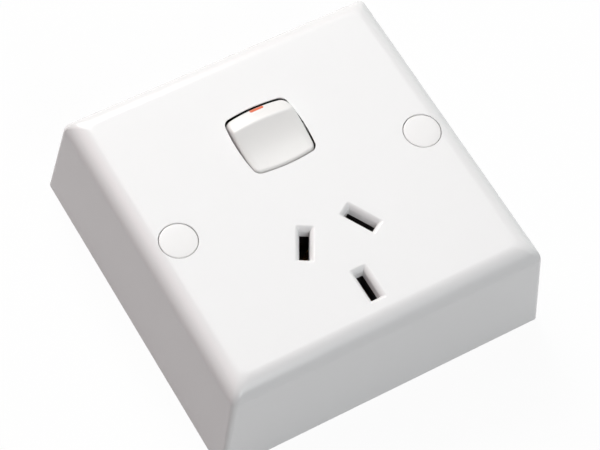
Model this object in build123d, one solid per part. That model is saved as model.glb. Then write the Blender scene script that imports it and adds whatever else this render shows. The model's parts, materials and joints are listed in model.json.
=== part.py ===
"""Surface socket outlet with a rocker switch, lying on its back with the switch on.

Millimetres. The origin is the centre of the back, +X points to the right-hand screw cap,
+Y up the face towards the rocker and +Z out of the face.
"""
from build123d import *
import os
from math import atan, cos, degrees, hypot, radians, sin, sqrt

# Casing: a flared square cover with a rounded front edge
CASE_FOOT_SIDE = 80.0
CASE_TOP_SIDE = 74.8
CASE_HEIGHT = 28.2
CASE_EDGE_R = 4.7
CASE_CORNER_R = 1.0
CASE_WALL = 2.2
FACE_THICK = 2.2

# Pin pattern: two live blades in a V over an upright earth blade
PIN_CENTRE_Y = -16.7
LIVE_PIN_RADIUS = 7.92
LIVE_PIN_ANGLE = 60.0
EARTH_PIN_RADIUS = 10.31
EARTH_BLADE_ANGLE = 90.0
BLADE_WIDTH = 6.35
BLADE_THICK = 1.6
SLOT_PLAY = 0.3
MOUTH_BEVEL = 0.8
MOUTH_DEPTH = 0.9
SHROUD_REACH = 3.0
SHROUD_WALL = 1.2
CUT_PAST = 1.1

# Rocker opening: a square with bowed sides
ROCKER_Y = 13.9
OPENING_WIDTH = 16.0
OPENING_LENGTH = 15.9
OPENING_BOW = 0.65
OPENING_CORNER_R = 1.8
OPENING_DRAFT = 28.0

# Rocker: its ends swing about the pivot, so their gap stays the same
PIVOT_DEPTH = 3.6
TRAVEL = 14.0
ROCKER_END_GAP = 0.45
ROCKER_SIDE_GAP = 0.14
RIDGE_OFFSET = 3.1
RIDGE_RISE = 2.0
TOP_EDGE_RISE = 0.7
DISH_SAG = 0.55
CROWN_R = 90.0
ROCKER_SKIN = 1.4
ROCKER_RIM = 0.7
ROCKER_HOLLOW_R = 0.8
SKIRT_REACH = 1.9
TRUNNION_R = 1.3
TRUNNION_REACH = 1.9
RUNNING_FIT = 0.05
MARK_WIDTH = 3.4
MARK_LENGTH = 1.2
MARK_X = 0.3
MARK_INSET = -0.25
MARK_DEPTH = 0.5
MARK_CORNER_R = 0.4

# Plunger and spring inside the rocker
PLUNGER_R = 1.5
PLUNGER_REACH = 10.95
PLUNGER_HEAD = 1.5
PLUNGER_BORE_FIT = 0.1
BOSS_WALL = 1.2
BOSS_REACH = 7.2
SPRING_WIRE_R = 0.2
SPRING_TURNS = 4.5
SPRING_FIT = 0.04
SPRING_SIDES = 8

# See-saw contact arm on its fulcrum
ARM_SWING = 18.0
ARM_THICK = 1.0
ARM_WIDTH = 6.0
ARM_BACK = 7.0
ARM_FRONT = 9.2
ARM_PLUNGER_GAP = 0.05
ARM_NOTCH_DEPTH = 1.1
ARM_NOTCH_WIDTH = 2.4
CONTACT_ARM = 7.5
TIP_R = 1.5
TIP_RIM = 0.6
TIP_DOME = 0.3
TIP_GAP = 0.05
KNIFE_THICK = 1.2
KNIFE_GAP = 0.03
EAR_WIDTH = 1.2
EAR_RISE = 1.8
EAR_FIT = 0.2

# Formed contact strip
STRIP_THICK = 0.8
STRIP_BEND_R = 1.2
CLIP_BEND_R = 1.6
CLIP_FOOT_R = 0.8
STRIP_WIDTH = 4.0
CLIP_WIDTH = 6.0
CLIP_GRIP = 0.2
CLIP_MOUTH = 1.9
CLIP_FOOT = 2.0
CLIP_PINCH_DROP = 3.6
CLIP_FOOT_RISE = 3.0

# Terminals and their screws
TERMINAL_X = 16.5
TERMINAL_SIDE = 7.0
TERMINAL_HEIGHT = 9.0
WIRE_BORE_R = 1.8
WIRE_BORE_RISE = 3.0
SWITCH_TERMINAL_Y = 19.5
CLAMP_SCREW_R = 1.75
CLAMP_SCREW_REACH = 4.0
CLAMP_SCREW_PROUD = 1.0
CLAMP_HEAD_R = 2.7
CLAMP_HEAD_HEIGHT = 2.2
TERMINAL_CHAMFER = 0.4

# Mechanism housing, its top plate and their screws
HOUSING_WALL = 1.6
HOUSING_FLOOR = 1.2
HOUSING_CORNER_R = 1.5
POCKET_FIT = 0.2
CHAMBER_HALF_WIDTH = 5.2
CHAMBER_BACK = 8.5
CHAMBER_FRONT = 10.6
EAR_THICK = 1.8
EAR_HALF_LENGTH = 2.6
EAR_GAP = 0.4
EAR_HEADROOM = 0.2
RETAINER_THICK = 3.6
RETAINER_HALF_WIDTH = 12.3
RETAINER_REAR_Y = 2.4
SHROUD_HEADROOM = 0.2
SMALL_SCREW_R = 1.2
SMALL_SCREW_LENGTH = 7.0
SMALL_HEAD_R = 2.3
SMALL_HEAD_HEIGHT = 1.3
HOUSING_SCREW_R = 1.5
HOUSING_SCREW_LENGTH = 7.2
HOUSING_HEAD_R = 2.9
HOUSING_HEAD_HEIGHT = 2.0
HOUSING_SCREW_FLOOR = 4.0
THREAD_FIT = 0.05
SCREW_SLOT_WIDTH = 0.8
SCREW_SLOT_DEPTH = 0.9
SCREW_HEAD_CHAMFER = 0.3
SCREW_LEAD = 0.5
SCREW_HOLE_SPARE = 1.0

# Base plate that the wall screws hold
BASE_THICK = 3.0
BASE_FIT = 0.3
BLIND_HOLE_FLOOR = 0.8
RIM_HEIGHT = 5.0
RIM_WALL = 1.6
POST_HEIGHT = 1.4
POST_R = 4.0
FIXING_SPACING_X = 57.0
FIXING_SPACING_Y = 44.0
FIXING_HOLE_R = 2.25
FIXING_BOSS_R = 4.6
FIXING_BOSS_HEIGHT = 1.0
CABLE_ENTRY_WIDTH = 24.0
CABLE_ENTRY_HEIGHT = 8.0
CABLE_ENTRY_Y = 31.0

# Cover screws in brass inserts, and the caps that hide them
SCREW_X = 30.0
PILLAR_R = 4.75
PILLAR_HEIGHT = 10.0
INSERT_R = 2.75
INSERT_LENGTH = 8.0
INSERT_GROOVE_LENGTH = 1.6
INSERT_GROOVE_DEPTH = 0.4
COVER_SCREW_R = 1.75
COVER_SCREW_LENGTH = 9.5
COVER_HEAD_R = 3.4
COVER_HEAD_HEIGHT = 2.4
COVER_BOSS_R = 5.4
COVER_BOSS_FLOOR = 2.5
HEAD_WELL_R = 3.75
SHANK_HOLE_PLAY = 0.3
CAP_R = 4.1
CAP_GAP = 0.16
CAP_THICK = 1.3
CAP_STEM_LENGTH = 3.0
CAP_STEM_WALL = 0.9
CAP_CHAMFER = 0.15
RIB_THICK = 1.2
RIB_REACH = 12.0

# Heights and places worked out from the sizes above
WALL_SLOPE = (CASE_FOOT_SIDE - CASE_TOP_SIDE) / 2 / CASE_HEIGHT
FACE_UNDER_Z = CASE_HEIGHT - FACE_THICK
HOUSING_Z = BASE_THICK + POST_HEIGHT
FLOOR_Z = HOUSING_Z + HOUSING_FLOOR
STRIP_TOP_Z = FLOOR_Z + STRIP_THICK
RETAINER_TOP_Z = CASE_HEIGHT - SHROUD_REACH - SHROUD_HEADROOM
HOUSING_TOP_Z = RETAINER_TOP_Z - RETAINER_THICK
PILLAR_TOP_Z = BASE_THICK + PILLAR_HEIGHT
SCREW_SEAT_Z = PILLAR_TOP_Z + COVER_BOSS_FLOOR
PIVOT_Z = CASE_HEIGHT - PIVOT_DEPTH
HALF_TRAVEL = TRAVEL / 2
OPENING_EDGE_ANGLE = atan(PIVOT_DEPTH / (OPENING_LENGTH / 2))
OPENING_EDGE_R = hypot(OPENING_LENGTH / 2, PIVOT_DEPTH)
WALL_TURN = max(0.0, OPENING_EDGE_ANGLE - radians(OPENING_DRAFT))
SWING_R = OPENING_EDGE_R * cos(WALL_TURN) - ROCKER_END_GAP
ROCKER_HALF_WIDTH = OPENING_WIDTH / 2 - ROCKER_SIDE_GAP
FULCRUM_Z = PIVOT_Z - PLUNGER_REACH - ARM_PLUNGER_GAP - ARM_THICK
TIP_HEIGHT = TIP_RIM + TIP_DOME
SLOT_LENGTH = BLADE_WIDTH + 2 * SLOT_PLAY
SLOT_WIDTH = BLADE_THICK + 2 * SLOT_PLAY
EARTH_Y = PIN_CENTRE_Y - EARTH_PIN_RADIUS
LIVE_X = LIVE_PIN_RADIUS * sin(radians(LIVE_PIN_ANGLE))
LIVE_Y = PIN_CENTRE_Y + LIVE_PIN_RADIUS * cos(radians(LIVE_PIN_ANGLE))
CLIP_POCKET_LENGTH = CLIP_WIDTH + 4 * POCKET_FIT
CLIP_POCKET_WIDTH = 2 * CLIP_FOOT + STRIP_THICK + 4 * POCKET_FIT
TERMINAL_POCKET = TERMINAL_SIDE + 2 * POCKET_FIT
HOUSING_HALF_WIDTH = TERMINAL_X + TERMINAL_POCKET / 2 + HOUSING_WALL
HOUSING_FRONT_Y = EARTH_Y - TERMINAL_POCKET / 2 - HOUSING_WALL
HOUSING_REAR_Y = ROCKER_Y + CHAMBER_FRONT + HOUSING_WALL

# Blade places: name, x, y and the turn of the blade's long side from +X
PINS = {
    "active": (-LIVE_X, LIVE_Y, 90 - LIVE_PIN_ANGLE / 2),
    "neutral": (LIVE_X, LIVE_Y, 90 + LIVE_PIN_ANGLE / 2),
    "earth": (0.0, EARTH_Y, EARTH_BLADE_ANGLE),
}
# Terminal places: x and y
TERMINALS = {
    "active": (-TERMINAL_X, SWITCH_TERMINAL_Y),
    "loop": (TERMINAL_X, SWITCH_TERMINAL_Y),
    "neutral": (TERMINAL_X, LIVE_Y),
    "earth": (TERMINAL_X, EARTH_Y),
}
# Posts under the housing: the first two take its screws
POSTS = [
    (-TERMINAL_X, EARTH_Y + POST_R),
    (TERMINAL_X, ROCKER_Y - TERMINAL_SIDE - 2 * HOUSING_WALL),
    (-TERMINAL_X, SWITCH_TERMINAL_Y),
    (TERMINAL_X, LIVE_Y - TERMINAL_SIDE),
]
SCREWED_POSTS = POSTS[:2]
RETAINER_SCREWS = [
    (-LIVE_X - POST_R / 2, (LIVE_Y + EARTH_Y) / 2 - SMALL_HEAD_R),
    (LIVE_X + POST_R / 2, (LIVE_Y + EARTH_Y) / 2 - SMALL_HEAD_R),
    (SMALL_HEAD_R, RETAINER_REAR_Y - SMALL_HEAD_R - HOUSING_WALL / 2),
]
FIXING_HOLES = [
    (x * FIXING_SPACING_X / 2, y * FIXING_SPACING_Y / 2) for x in (-1, 1) for y in (-1, 1)
]


def block(x0, x1, y0, y1, z0, z1):
    """Box between two corners."""
    return Pos((x0 + x1) / 2, (y0 + y1) / 2, (z0 + z1) / 2) * Box(x1 - x0, y1 - y0, z1 - z0)


def post(x, y, radius, z0, z1):
    """Upright round bar."""
    return Pos(x, y, (z0 + z1) / 2) * Cylinder(radius, z1 - z0)


def upright(sketch, z0, z1):
    """A sketch in plan carried from one height to another."""
    return extrude(Pos(0, 0, z0) * sketch, amount=z1 - z0)


def blade_sketch(pin, length, width):
    """Rectangle at a blade's place, long side along the blade."""
    x, y, turn = PINS[pin]
    return Pos(x, y) * Rot(0, 0, turn) * Rectangle(length, width)


def inner_half(z):
    """Half the clear width inside the cover at a height."""
    wall_across = CASE_WALL / cos(atan(WALL_SLOPE))
    return CASE_FOOT_SIDE / 2 - z * WALL_SLOPE - wall_across


def slotted_head(x, y, seat_z, radius, height):
    """Cheese head with a screwdriver slot, standing on its seat."""
    head = post(x, y, radius, seat_z, seat_z + height)
    head = chamfer(head.edges().group_by(Axis.Z)[-1], SCREW_HEAD_CHAMFER)
    top = seat_z + height
    across = 2 * (radius + CUT_PAST)
    slot = Pos(x, y, top - SCREW_SLOT_DEPTH / 2) * Box(across, SCREW_SLOT_WIDTH, SCREW_SLOT_DEPTH)
    return head - slot


def screw(x, y, seat_z, shank_r, length, head_r, head_height):
    """Slotted screw pointing down from its seat."""
    shank = post(x, y, shank_r, seat_z - length, seat_z)
    shank = chamfer(shank.edges().group_by(Axis.Z)[0], SCREW_LEAD)
    return shank + slotted_head(x, y, seat_z, head_r, head_height)


# Casing

def flared_block(inset, foot_z, top_z, edge_r):
    """Block with the casing's flare, set in from its outside, its front edges rounded to mitres."""
    foot = 2 * (CASE_FOOT_SIDE / 2 - inset - foot_z * WALL_SLOPE)
    plan = Pos(0, 0, foot_z) * Rectangle(foot, foot)
    solid = extrude(plan, amount=top_z - foot_z, taper=degrees(atan(WALL_SLOPE)))
    return fillet(solid.edges().group_by(Axis.Z)[-1], edge_r)


def bowed_square(width, length, bow, corner_r):
    """Square with four bowed sides and rounded corners, in plan."""
    x, y = width / 2 - bow, length / 2 - bow
    sides = [
        ThreePointArc((x, -y), (width / 2, 0), (x, y)),
        ThreePointArc((x, y), (0, length / 2), (-x, y)),
        ThreePointArc((-x, y), (-width / 2, 0), (-x, -y)),
        ThreePointArc((-x, -y), (0, -length / 2), (x, -y)),
    ]
    face = make_face(Curve() + sides)
    return fillet(face.vertices(), corner_r)


def make_cover():
    """One moulding: flared walls, face, blade shrouds, rocker opening and screw bosses."""
    shell = flared_block(0, 0, CASE_HEIGHT, CASE_EDGE_R)
    corners = shell.edges().filter_by(lambda edge: edge.bounding_box().size.Z > CASE_HEIGHT / 2)
    shell = fillet(corners, CASE_CORNER_R)
    wall_across = CASE_WALL / cos(atan(WALL_SLOPE))
    shell -= flared_block(wall_across, -CASE_WALL, FACE_UNDER_Z, CASE_EDGE_R - CASE_WALL)

    for pin in PINS:
        outline = blade_sketch(pin, SLOT_LENGTH + 2 * SHROUD_WALL, SLOT_WIDTH + 2 * SHROUD_WALL)
        shell += upright(outline, CASE_HEIGHT - SHROUD_REACH, CASE_HEIGHT - FACE_THICK / 2)
    for side in (-1, 1):
        x = side * SCREW_X
        shell += post(x, 0, COVER_BOSS_R, PILLAR_TOP_Z, CASE_HEIGHT - FACE_THICK / 2)
        rib_end = side * inner_half(PILLAR_TOP_Z)
        shell += block(*sorted((x, rib_end)), -RIB_THICK / 2, RIB_THICK / 2, PILLAR_TOP_Z, FACE_UNDER_Z)
        shell += block(
            x - RIB_THICK / 2, x + RIB_THICK / 2, -RIB_REACH, RIB_REACH,
            FACE_UNDER_Z - FACE_THICK, FACE_UNDER_Z,
        )

    for pin in PINS:
        slot = blade_sketch(pin, SLOT_LENGTH, SLOT_WIDTH)
        shell -= upright(slot, CASE_HEIGHT - SHROUD_REACH - FACE_THICK, CASE_HEIGHT)
        mouth = blade_sketch(pin, SLOT_LENGTH + 2 * MOUTH_BEVEL, SLOT_WIDTH + 2 * MOUTH_BEVEL)
        shell -= loft([Pos(0, 0, CASE_HEIGHT) * mouth, Pos(0, 0, CASE_HEIGHT - MOUTH_DEPTH) * slot])
    opening = bowed_square(OPENING_WIDTH, OPENING_LENGTH, OPENING_BOW, OPENING_CORNER_R)
    shell -= extrude(
        Pos(0, ROCKER_Y, CASE_HEIGHT) * opening, amount=-FACE_THICK - CUT_PAST, taper=-OPENING_DRAFT
    )
    for side in (-1, 1):
        x = side * SCREW_X
        shell -= post(x, 0, CAP_R + CAP_GAP, CASE_HEIGHT - CAP_THICK, CASE_HEIGHT + CAP_THICK)
        shell -= post(x, 0, HEAD_WELL_R, SCREW_SEAT_Z, CASE_HEIGHT)
        shell -= post(x, 0, COVER_SCREW_R + SHANK_HOLE_PLAY, BASE_THICK, CASE_HEIGHT)
    return shell


def make_cap(side):
    """Press-in cap, flush with the face, with a hollow stem."""
    x = side * SCREW_X
    disc = post(x, 0, CAP_R, CASE_HEIGHT - CAP_THICK, CASE_HEIGHT)
    disc = chamfer(disc.edges().group_by(Axis.Z)[-1], CAP_CHAMFER)
    stem_r = HEAD_WELL_R - THREAD_FIT
    stem_z = CASE_HEIGHT - CAP_THICK - CAP_STEM_LENGTH
    stem = post(x, 0, stem_r, stem_z, CASE_HEIGHT - CAP_THICK)
    stem -= post(x, 0, stem_r - CAP_STEM_WALL, stem_z, CASE_HEIGHT - CAP_THICK)
    return disc + stem


def make_cover_screws():
    """The two screws that hold the cover to the pillars."""
    return [
        screw(
            side * SCREW_X, 0, SCREW_SEAT_Z,
            COVER_SCREW_R, COVER_SCREW_LENGTH, COVER_HEAD_R, COVER_HEAD_HEIGHT,
        )
        for side in (-1, 1)
    ]


def make_inserts():
    """Threaded brass inserts moulded into the pillars, thread left plain."""
    inserts = []
    for side in (-1, 1):
        x = side * SCREW_X
        body = post(x, 0, INSERT_R, PILLAR_TOP_Z - INSERT_LENGTH, PILLAR_TOP_Z)
        middle = PILLAR_TOP_Z - INSERT_LENGTH / 2
        low, high = middle - INSERT_GROOVE_LENGTH / 2, middle + INSERT_GROOVE_LENGTH / 2
        body -= post(x, 0, INSERT_R, low, high) - post(x, 0, INSERT_R - INSERT_GROOVE_DEPTH, low, high)
        body -= post(x, 0, COVER_SCREW_R + THREAD_FIT, PILLAR_TOP_Z - INSERT_LENGTH, PILLAR_TOP_Z)
        inserts.append(body)
    return inserts


# Base

def make_base():
    """Back plate with a locating rim, pillars, posts, fixing holes and the cable entry."""
    plate_half = min(inner_half(0), inner_half(BASE_THICK)) - BASE_FIT
    rim_top = BASE_THICK + RIM_HEIGHT
    rim_half = min(inner_half(0), inner_half(rim_top)) - BASE_FIT
    plate = upright(RectangleRounded(2 * plate_half, 2 * plate_half, CASE_WALL), 0, BASE_THICK)
    rim = upright(RectangleRounded(2 * rim_half, 2 * rim_half, CASE_WALL), 0, rim_top)
    rim -= block(
        RIM_WALL - rim_half, rim_half - RIM_WALL, RIM_WALL - rim_half, rim_half - RIM_WALL,
        0, rim_top,
    )
    base = plate + rim
    for side in (-1, 1):
        base += post(side * SCREW_X, 0, PILLAR_R, 0, PILLAR_TOP_Z)
        base += block(
            *sorted((side * SCREW_X, side * (rim_half - RIM_WALL / 2))),
            -RIB_THICK / 2, RIB_THICK / 2, 0, rim_top,
        )
    for x, y in POSTS:
        base += post(x, y, POST_R, 0, HOUSING_Z)
    for x, y in FIXING_HOLES:
        base += post(x, y, FIXING_BOSS_R, 0, BASE_THICK + FIXING_BOSS_HEIGHT)
    for x, y in FIXING_HOLES:
        base -= post(x, y, FIXING_HOLE_R, 0, BASE_THICK + FIXING_BOSS_HEIGHT)
    for x, y in SCREWED_POSTS:
        base -= post(x, y, HOUSING_SCREW_R + THREAD_FIT, BLIND_HOLE_FLOOR, HOUSING_Z)
    for side in (-1, 1):
        base -= post(side * SCREW_X, 0, INSERT_R, PILLAR_TOP_Z - INSERT_LENGTH, PILLAR_TOP_Z)
    entry = Pos(0, CABLE_ENTRY_Y) * SlotOverall(CABLE_ENTRY_WIDTH, CABLE_ENTRY_HEIGHT)
    return base - upright(entry, 0, BASE_THICK)


# Mechanism housing

def make_housing():
    """Dark moulded block with pockets for the clips, terminals and switch."""
    front, rear, half = HOUSING_FRONT_Y, HOUSING_REAR_Y, HOUSING_HALF_WIDTH
    outline = Pos(0, (front + rear) / 2) * RectangleRounded(2 * half, rear - front, HOUSING_CORNER_R)
    body = upright(outline, HOUSING_Z, HOUSING_TOP_Z)
    for pin in PINS:
        pocket = blade_sketch(pin, CLIP_POCKET_LENGTH, CLIP_POCKET_WIDTH)
        body -= upright(pocket, FLOOR_Z, HOUSING_TOP_Z)
    for name, (x, y) in TERMINALS.items():
        floor = STRIP_TOP_Z if name == "loop" else FLOOR_Z
        reach = TERMINAL_POCKET / 2
        body -= block(x - reach, x + reach, y - reach, y + reach, floor, HOUSING_TOP_Z)
        wire_z = STRIP_TOP_Z + WIRE_BORE_RISE
        outward = 1 if x > 0 else -1
        hole = Rot(0, 90, 0) * Cylinder(WIRE_BORE_R + SLOT_PLAY, TERMINAL_SIDE)
        body -= Pos(x + outward * TERMINAL_SIDE, y, wire_z) * hole
    body -= block(
        -CHAMBER_HALF_WIDTH, CHAMBER_HALF_WIDTH, ROCKER_Y - CHAMBER_BACK, ROCKER_Y + CHAMBER_FRONT,
        FLOOR_Z, HOUSING_TOP_Z,
    )
    channel = STRIP_WIDTH / 2 + 2 * POCKET_FIT
    run_x = -LIVE_X + STRIP_THICK
    body -= block(
        run_x - channel, run_x + channel, LIVE_Y, ROCKER_Y + channel, FLOOR_Z, HOUSING_TOP_Z
    )
    fixed_y = fixed_tip_place()[0]
    body -= block(-TERMINAL_X, 0, fixed_y - channel, fixed_y + channel, FLOOR_Z, HOUSING_TOP_Z)
    for pin in ("neutral", "earth"):
        x, y, _ = PINS[pin]
        body -= block(x, TERMINAL_X, y - channel, y + channel, FLOOR_Z, HOUSING_TOP_Z)
    for side in (-1, 1):
        inner = side * (ROCKER_HALF_WIDTH + EAR_GAP)
        outer = inner + side * EAR_THICK
        ear = block(
            *sorted((inner, outer)), ROCKER_Y - EAR_HALF_LENGTH, ROCKER_Y + EAR_HALF_LENGTH,
            HOUSING_TOP_Z - HOUSING_WALL, FACE_UNDER_Z - EAR_HEADROOM,
        )
        notch_r = TRUNNION_R + RUNNING_FIT
        bearing = Rot(0, 90, 0) * Cylinder(notch_r, 2 * EAR_THICK)
        notch = Pos((inner + outer) / 2, ROCKER_Y, PIVOT_Z) * bearing
        notch += block(
            *sorted((inner - side * EAR_THICK, outer + side * EAR_THICK)),
            ROCKER_Y - notch_r, ROCKER_Y + notch_r, PIVOT_Z, CASE_HEIGHT,
        )
        body += ear - notch
    for x, y in SCREWED_POSTS:
        body -= post(x, y, HOUSING_HEAD_R + POCKET_FIT, HOUSING_Z + HOUSING_SCREW_FLOOR, HOUSING_TOP_Z)
        body -= post(x, y, HOUSING_SCREW_R + SHANK_HOLE_PLAY, HOUSING_Z, HOUSING_TOP_Z)
    for x, y in RETAINER_SCREWS:
        hole_end = RETAINER_TOP_Z - SMALL_SCREW_LENGTH - SCREW_HOLE_SPARE
        body -= post(x, y, SMALL_SCREW_R + THREAD_FIT, hole_end, HOUSING_TOP_Z)
    return body


def make_retainer():
    """Plate that closes the clip pockets, with a guide slot over each clip."""
    front = HOUSING_FRONT_Y
    outline = Pos(0, (front + RETAINER_REAR_Y) / 2) * RectangleRounded(
        2 * RETAINER_HALF_WIDTH, RETAINER_REAR_Y - front, HOUSING_CORNER_R
    )
    plate = upright(outline, HOUSING_TOP_Z, RETAINER_TOP_Z)
    for pin in PINS:
        guide = blade_sketch(pin, SLOT_LENGTH + SLOT_PLAY, SLOT_WIDTH + SLOT_PLAY)
        plate -= upright(guide, HOUSING_TOP_Z, RETAINER_TOP_Z)
    for x, y in RETAINER_SCREWS:
        plate -= post(x, y, SMALL_SCREW_R + SHANK_HOLE_PLAY, HOUSING_TOP_Z, RETAINER_TOP_Z)
        plate -= post(x, y, SMALL_HEAD_R + POCKET_FIT, RETAINER_TOP_Z - SMALL_HEAD_HEIGHT, RETAINER_TOP_Z)
    return plate


def make_retainer_screws():
    """Small screws sunk in the top plate."""
    seat = RETAINER_TOP_Z - SMALL_HEAD_HEIGHT
    shank = SMALL_SCREW_LENGTH - SMALL_HEAD_HEIGHT
    return [
        screw(x, y, seat, SMALL_SCREW_R, shank, SMALL_HEAD_R, SMALL_HEAD_HEIGHT)
        for x, y in RETAINER_SCREWS
    ]


def make_housing_screws():
    """Screws that hold the housing to two posts of the base."""
    return [
        screw(
            x, y, HOUSING_Z + HOUSING_SCREW_FLOOR,
            HOUSING_SCREW_R, HOUSING_SCREW_LENGTH, HOUSING_HEAD_R, HOUSING_HEAD_HEIGHT,
        )
        for x, y in SCREWED_POSTS
    ]


# Contacts

def strip_profile(points, radii):
    """Section of a formed strip: its bent centre line given the strip's thickness."""
    return trace(FilletPolyline(*points, radius=radii), STRIP_THICK)


def make_clip(pin):
    """Two sprung leaves folded up from one foot, flared at the mouth."""
    centre = FLOOR_Z + STRIP_THICK / 2
    mouth_z = HOUSING_TOP_Z - POCKET_FIT
    pinch = BLADE_THICK / 2 - CLIP_GRIP + STRIP_THICK / 2
    leaf = [
        (CLIP_MOUTH, mouth_z),
        (pinch, mouth_z - CLIP_PINCH_DROP),
        (CLIP_FOOT, centre + CLIP_FOOT_RISE),
        (CLIP_FOOT, centre),
    ]
    points = leaf + [(-t, z) for t, z in reversed(leaf)]
    radii = [STRIP_BEND_R, CLIP_BEND_R, CLIP_FOOT_R, CLIP_FOOT_R, CLIP_BEND_R, STRIP_BEND_R]
    x, y, turn = PINS[pin]
    clip = extrude(Plane.YZ * strip_profile(points, radii), amount=CLIP_WIDTH / 2, both=True)
    return Pos(x, y, 0) * Rot(0, 0, turn) * clip


def make_terminal_contact(pin):
    """A clip with a flat tail that runs under its terminal."""
    x, y, _ = PINS[pin]
    half = STRIP_WIDTH / 2
    tail_end = TERMINAL_X + TERMINAL_SIDE / 2
    tail = block(x, tail_end, y - half, y + half, FLOOR_Z, STRIP_TOP_Z)
    return make_clip(pin) + tail


def make_switched_contact():
    """The active clip, its strip to the switch and the knife edge that the arm rocks on."""
    half = STRIP_WIDTH / 2
    run_x = -LIVE_X + STRIP_THICK
    ear_out = ARM_WIDTH / 2 - ARM_NOTCH_DEPTH + EAR_FIT + EAR_WIDTH
    piece = make_clip("active")
    piece += block(run_x - half, run_x + half, LIVE_Y, ROCKER_Y + half, FLOOR_Z, STRIP_TOP_Z)
    piece += block(run_x, ear_out, ROCKER_Y - half, ROCKER_Y + half, FLOOR_Z, STRIP_TOP_Z)
    web = KNIFE_THICK / 2
    apex = FULCRUM_Z - KNIFE_GAP
    piece += block(-ear_out, ear_out, ROCKER_Y - web, ROCKER_Y + web, FLOOR_Z, apex - 2 * web)
    knife_half = ear_out - EAR_WIDTH - 2 * EAR_FIT
    knife = Plane.YZ * Polygon(
        (ROCKER_Y - web, apex - 3 * web), (ROCKER_Y + web, apex - 3 * web),
        (ROCKER_Y + web, apex - web), (ROCKER_Y, apex), (ROCKER_Y - web, apex - web), align=None,
    )
    piece += extrude(knife, amount=knife_half, both=True)
    for side in (-1, 1):
        inner = side * (ear_out - EAR_WIDTH)
        piece += block(
            *sorted((inner, side * ear_out)), ROCKER_Y - web, ROCKER_Y + web,
            apex - 3 * web, FULCRUM_Z + EAR_RISE,
        )
    return piece


def arm_point(along, up, tilt):
    """Y and Z of a point on the arm, tilted about the fulcrum with its contact end raised by tilt."""
    a = radians(tilt)
    return (
        ROCKER_Y + along * cos(a) - up * sin(a),
        FULCRUM_Z + along * sin(a) + up * cos(a),
    )


def fixed_tip_place():
    """Y and Z of the top of the fixed tip, just under the closed moving tip."""
    y, z = arm_point(CONTACT_ARM, -TIP_HEIGHT, -ARM_SWING / 2)
    return y, z - TIP_GAP


def domed_tip(height_sign):
    """Contact rivet head with a domed face, standing on z = 0."""
    dome_r = (TIP_R ** 2 + TIP_DOME ** 2) / (2 * TIP_DOME)
    rim = Pos(0, 0, TIP_HEIGHT / 2) * Cylinder(TIP_R, TIP_HEIGHT)
    dome = Pos(0, 0, TIP_HEIGHT - dome_r) * Sphere(dome_r)
    tip = rim & dome
    return tip if height_sign > 0 else Rot(180, 0, 0) * tip


def on_arm(shape):
    """Carry a shape drawn on a level arm, fulcrum at the origin, to the closed arm."""
    return Pos(0, ROCKER_Y, FULCRUM_Z) * Rot(-ARM_SWING / 2, 0, 0) * shape


def make_arm():
    """See-saw strip with notches for the fulcrum's ears."""
    half = ARM_WIDTH / 2
    arm = block(-half, half, -ARM_BACK, ARM_FRONT, 0, ARM_THICK)
    arm = fillet(arm.edges().filter_by(Axis.Z), half / 2)
    for side in (-1, 1):
        x = side * (half - ARM_NOTCH_DEPTH / 2)
        arm -= Pos(x, 0, ARM_THICK / 2) * Box(ARM_NOTCH_DEPTH, ARM_NOTCH_WIDTH, ARM_THICK)
    return on_arm(arm)


def make_moving_tip():
    """Silver tip under the arm."""
    return on_arm(Pos(0, CONTACT_ARM, 0) * domed_tip(-1))


def make_fixed_tip():
    """Silver tip on the fixed strip."""
    y, z = fixed_tip_place()
    return Pos(0, y, z - TIP_HEIGHT) * domed_tip(1)


def make_fixed_contact():
    """Strip from under the active terminal, stepped up to the fixed tip."""
    y, z = fixed_tip_place()
    low = FLOOR_Z + STRIP_THICK / 2
    high = z - TIP_HEIGHT - STRIP_THICK / 2
    start = -TERMINAL_X - TERMINAL_SIDE / 2
    step = -CHAMBER_HALF_WIDTH - STRIP_WIDTH
    points = [(start, low), (step, low), (step + STRIP_WIDTH, high), (TIP_R + STRIP_THICK, high)]
    profile = strip_profile(points, [STRIP_BEND_R, STRIP_BEND_R])
    strip = extrude(Plane.XZ * profile, amount=STRIP_WIDTH / 2, both=True)
    return Pos(0, y, 0) * strip


def make_terminal(name):
    """Brass tunnel terminal: wire bore across, tapped hole from above."""
    x, y = TERMINALS[name]
    half = TERMINAL_SIDE / 2
    top = STRIP_TOP_Z + TERMINAL_HEIGHT
    body = block(x - half, x + half, y - half, y + half, STRIP_TOP_Z, top)
    body = chamfer(body.edges().filter_by(Axis.Z), TERMINAL_CHAMFER)
    wire_z = STRIP_TOP_Z + WIRE_BORE_RISE
    body -= Pos(x, y, wire_z) * Rot(0, 90, 0) * Cylinder(WIRE_BORE_R, 2 * TERMINAL_SIDE)
    return body - post(x, y, CLAMP_SCREW_R + THREAD_FIT, wire_z, top)


def make_clamp_screws():
    """One clamp screw in each terminal, backed off a turn or two."""
    top = STRIP_TOP_Z + TERMINAL_HEIGHT
    return [
        screw(
            x, y, top + CLAMP_SCREW_PROUD, CLAMP_SCREW_R, CLAMP_SCREW_REACH + CLAMP_SCREW_PROUD,
            CLAMP_HEAD_R, CLAMP_HEAD_HEIGHT,
        )
        for x, y in TERMINALS.values()
    ]


# Rocker: drawn about its pivot as it stands when on

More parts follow.
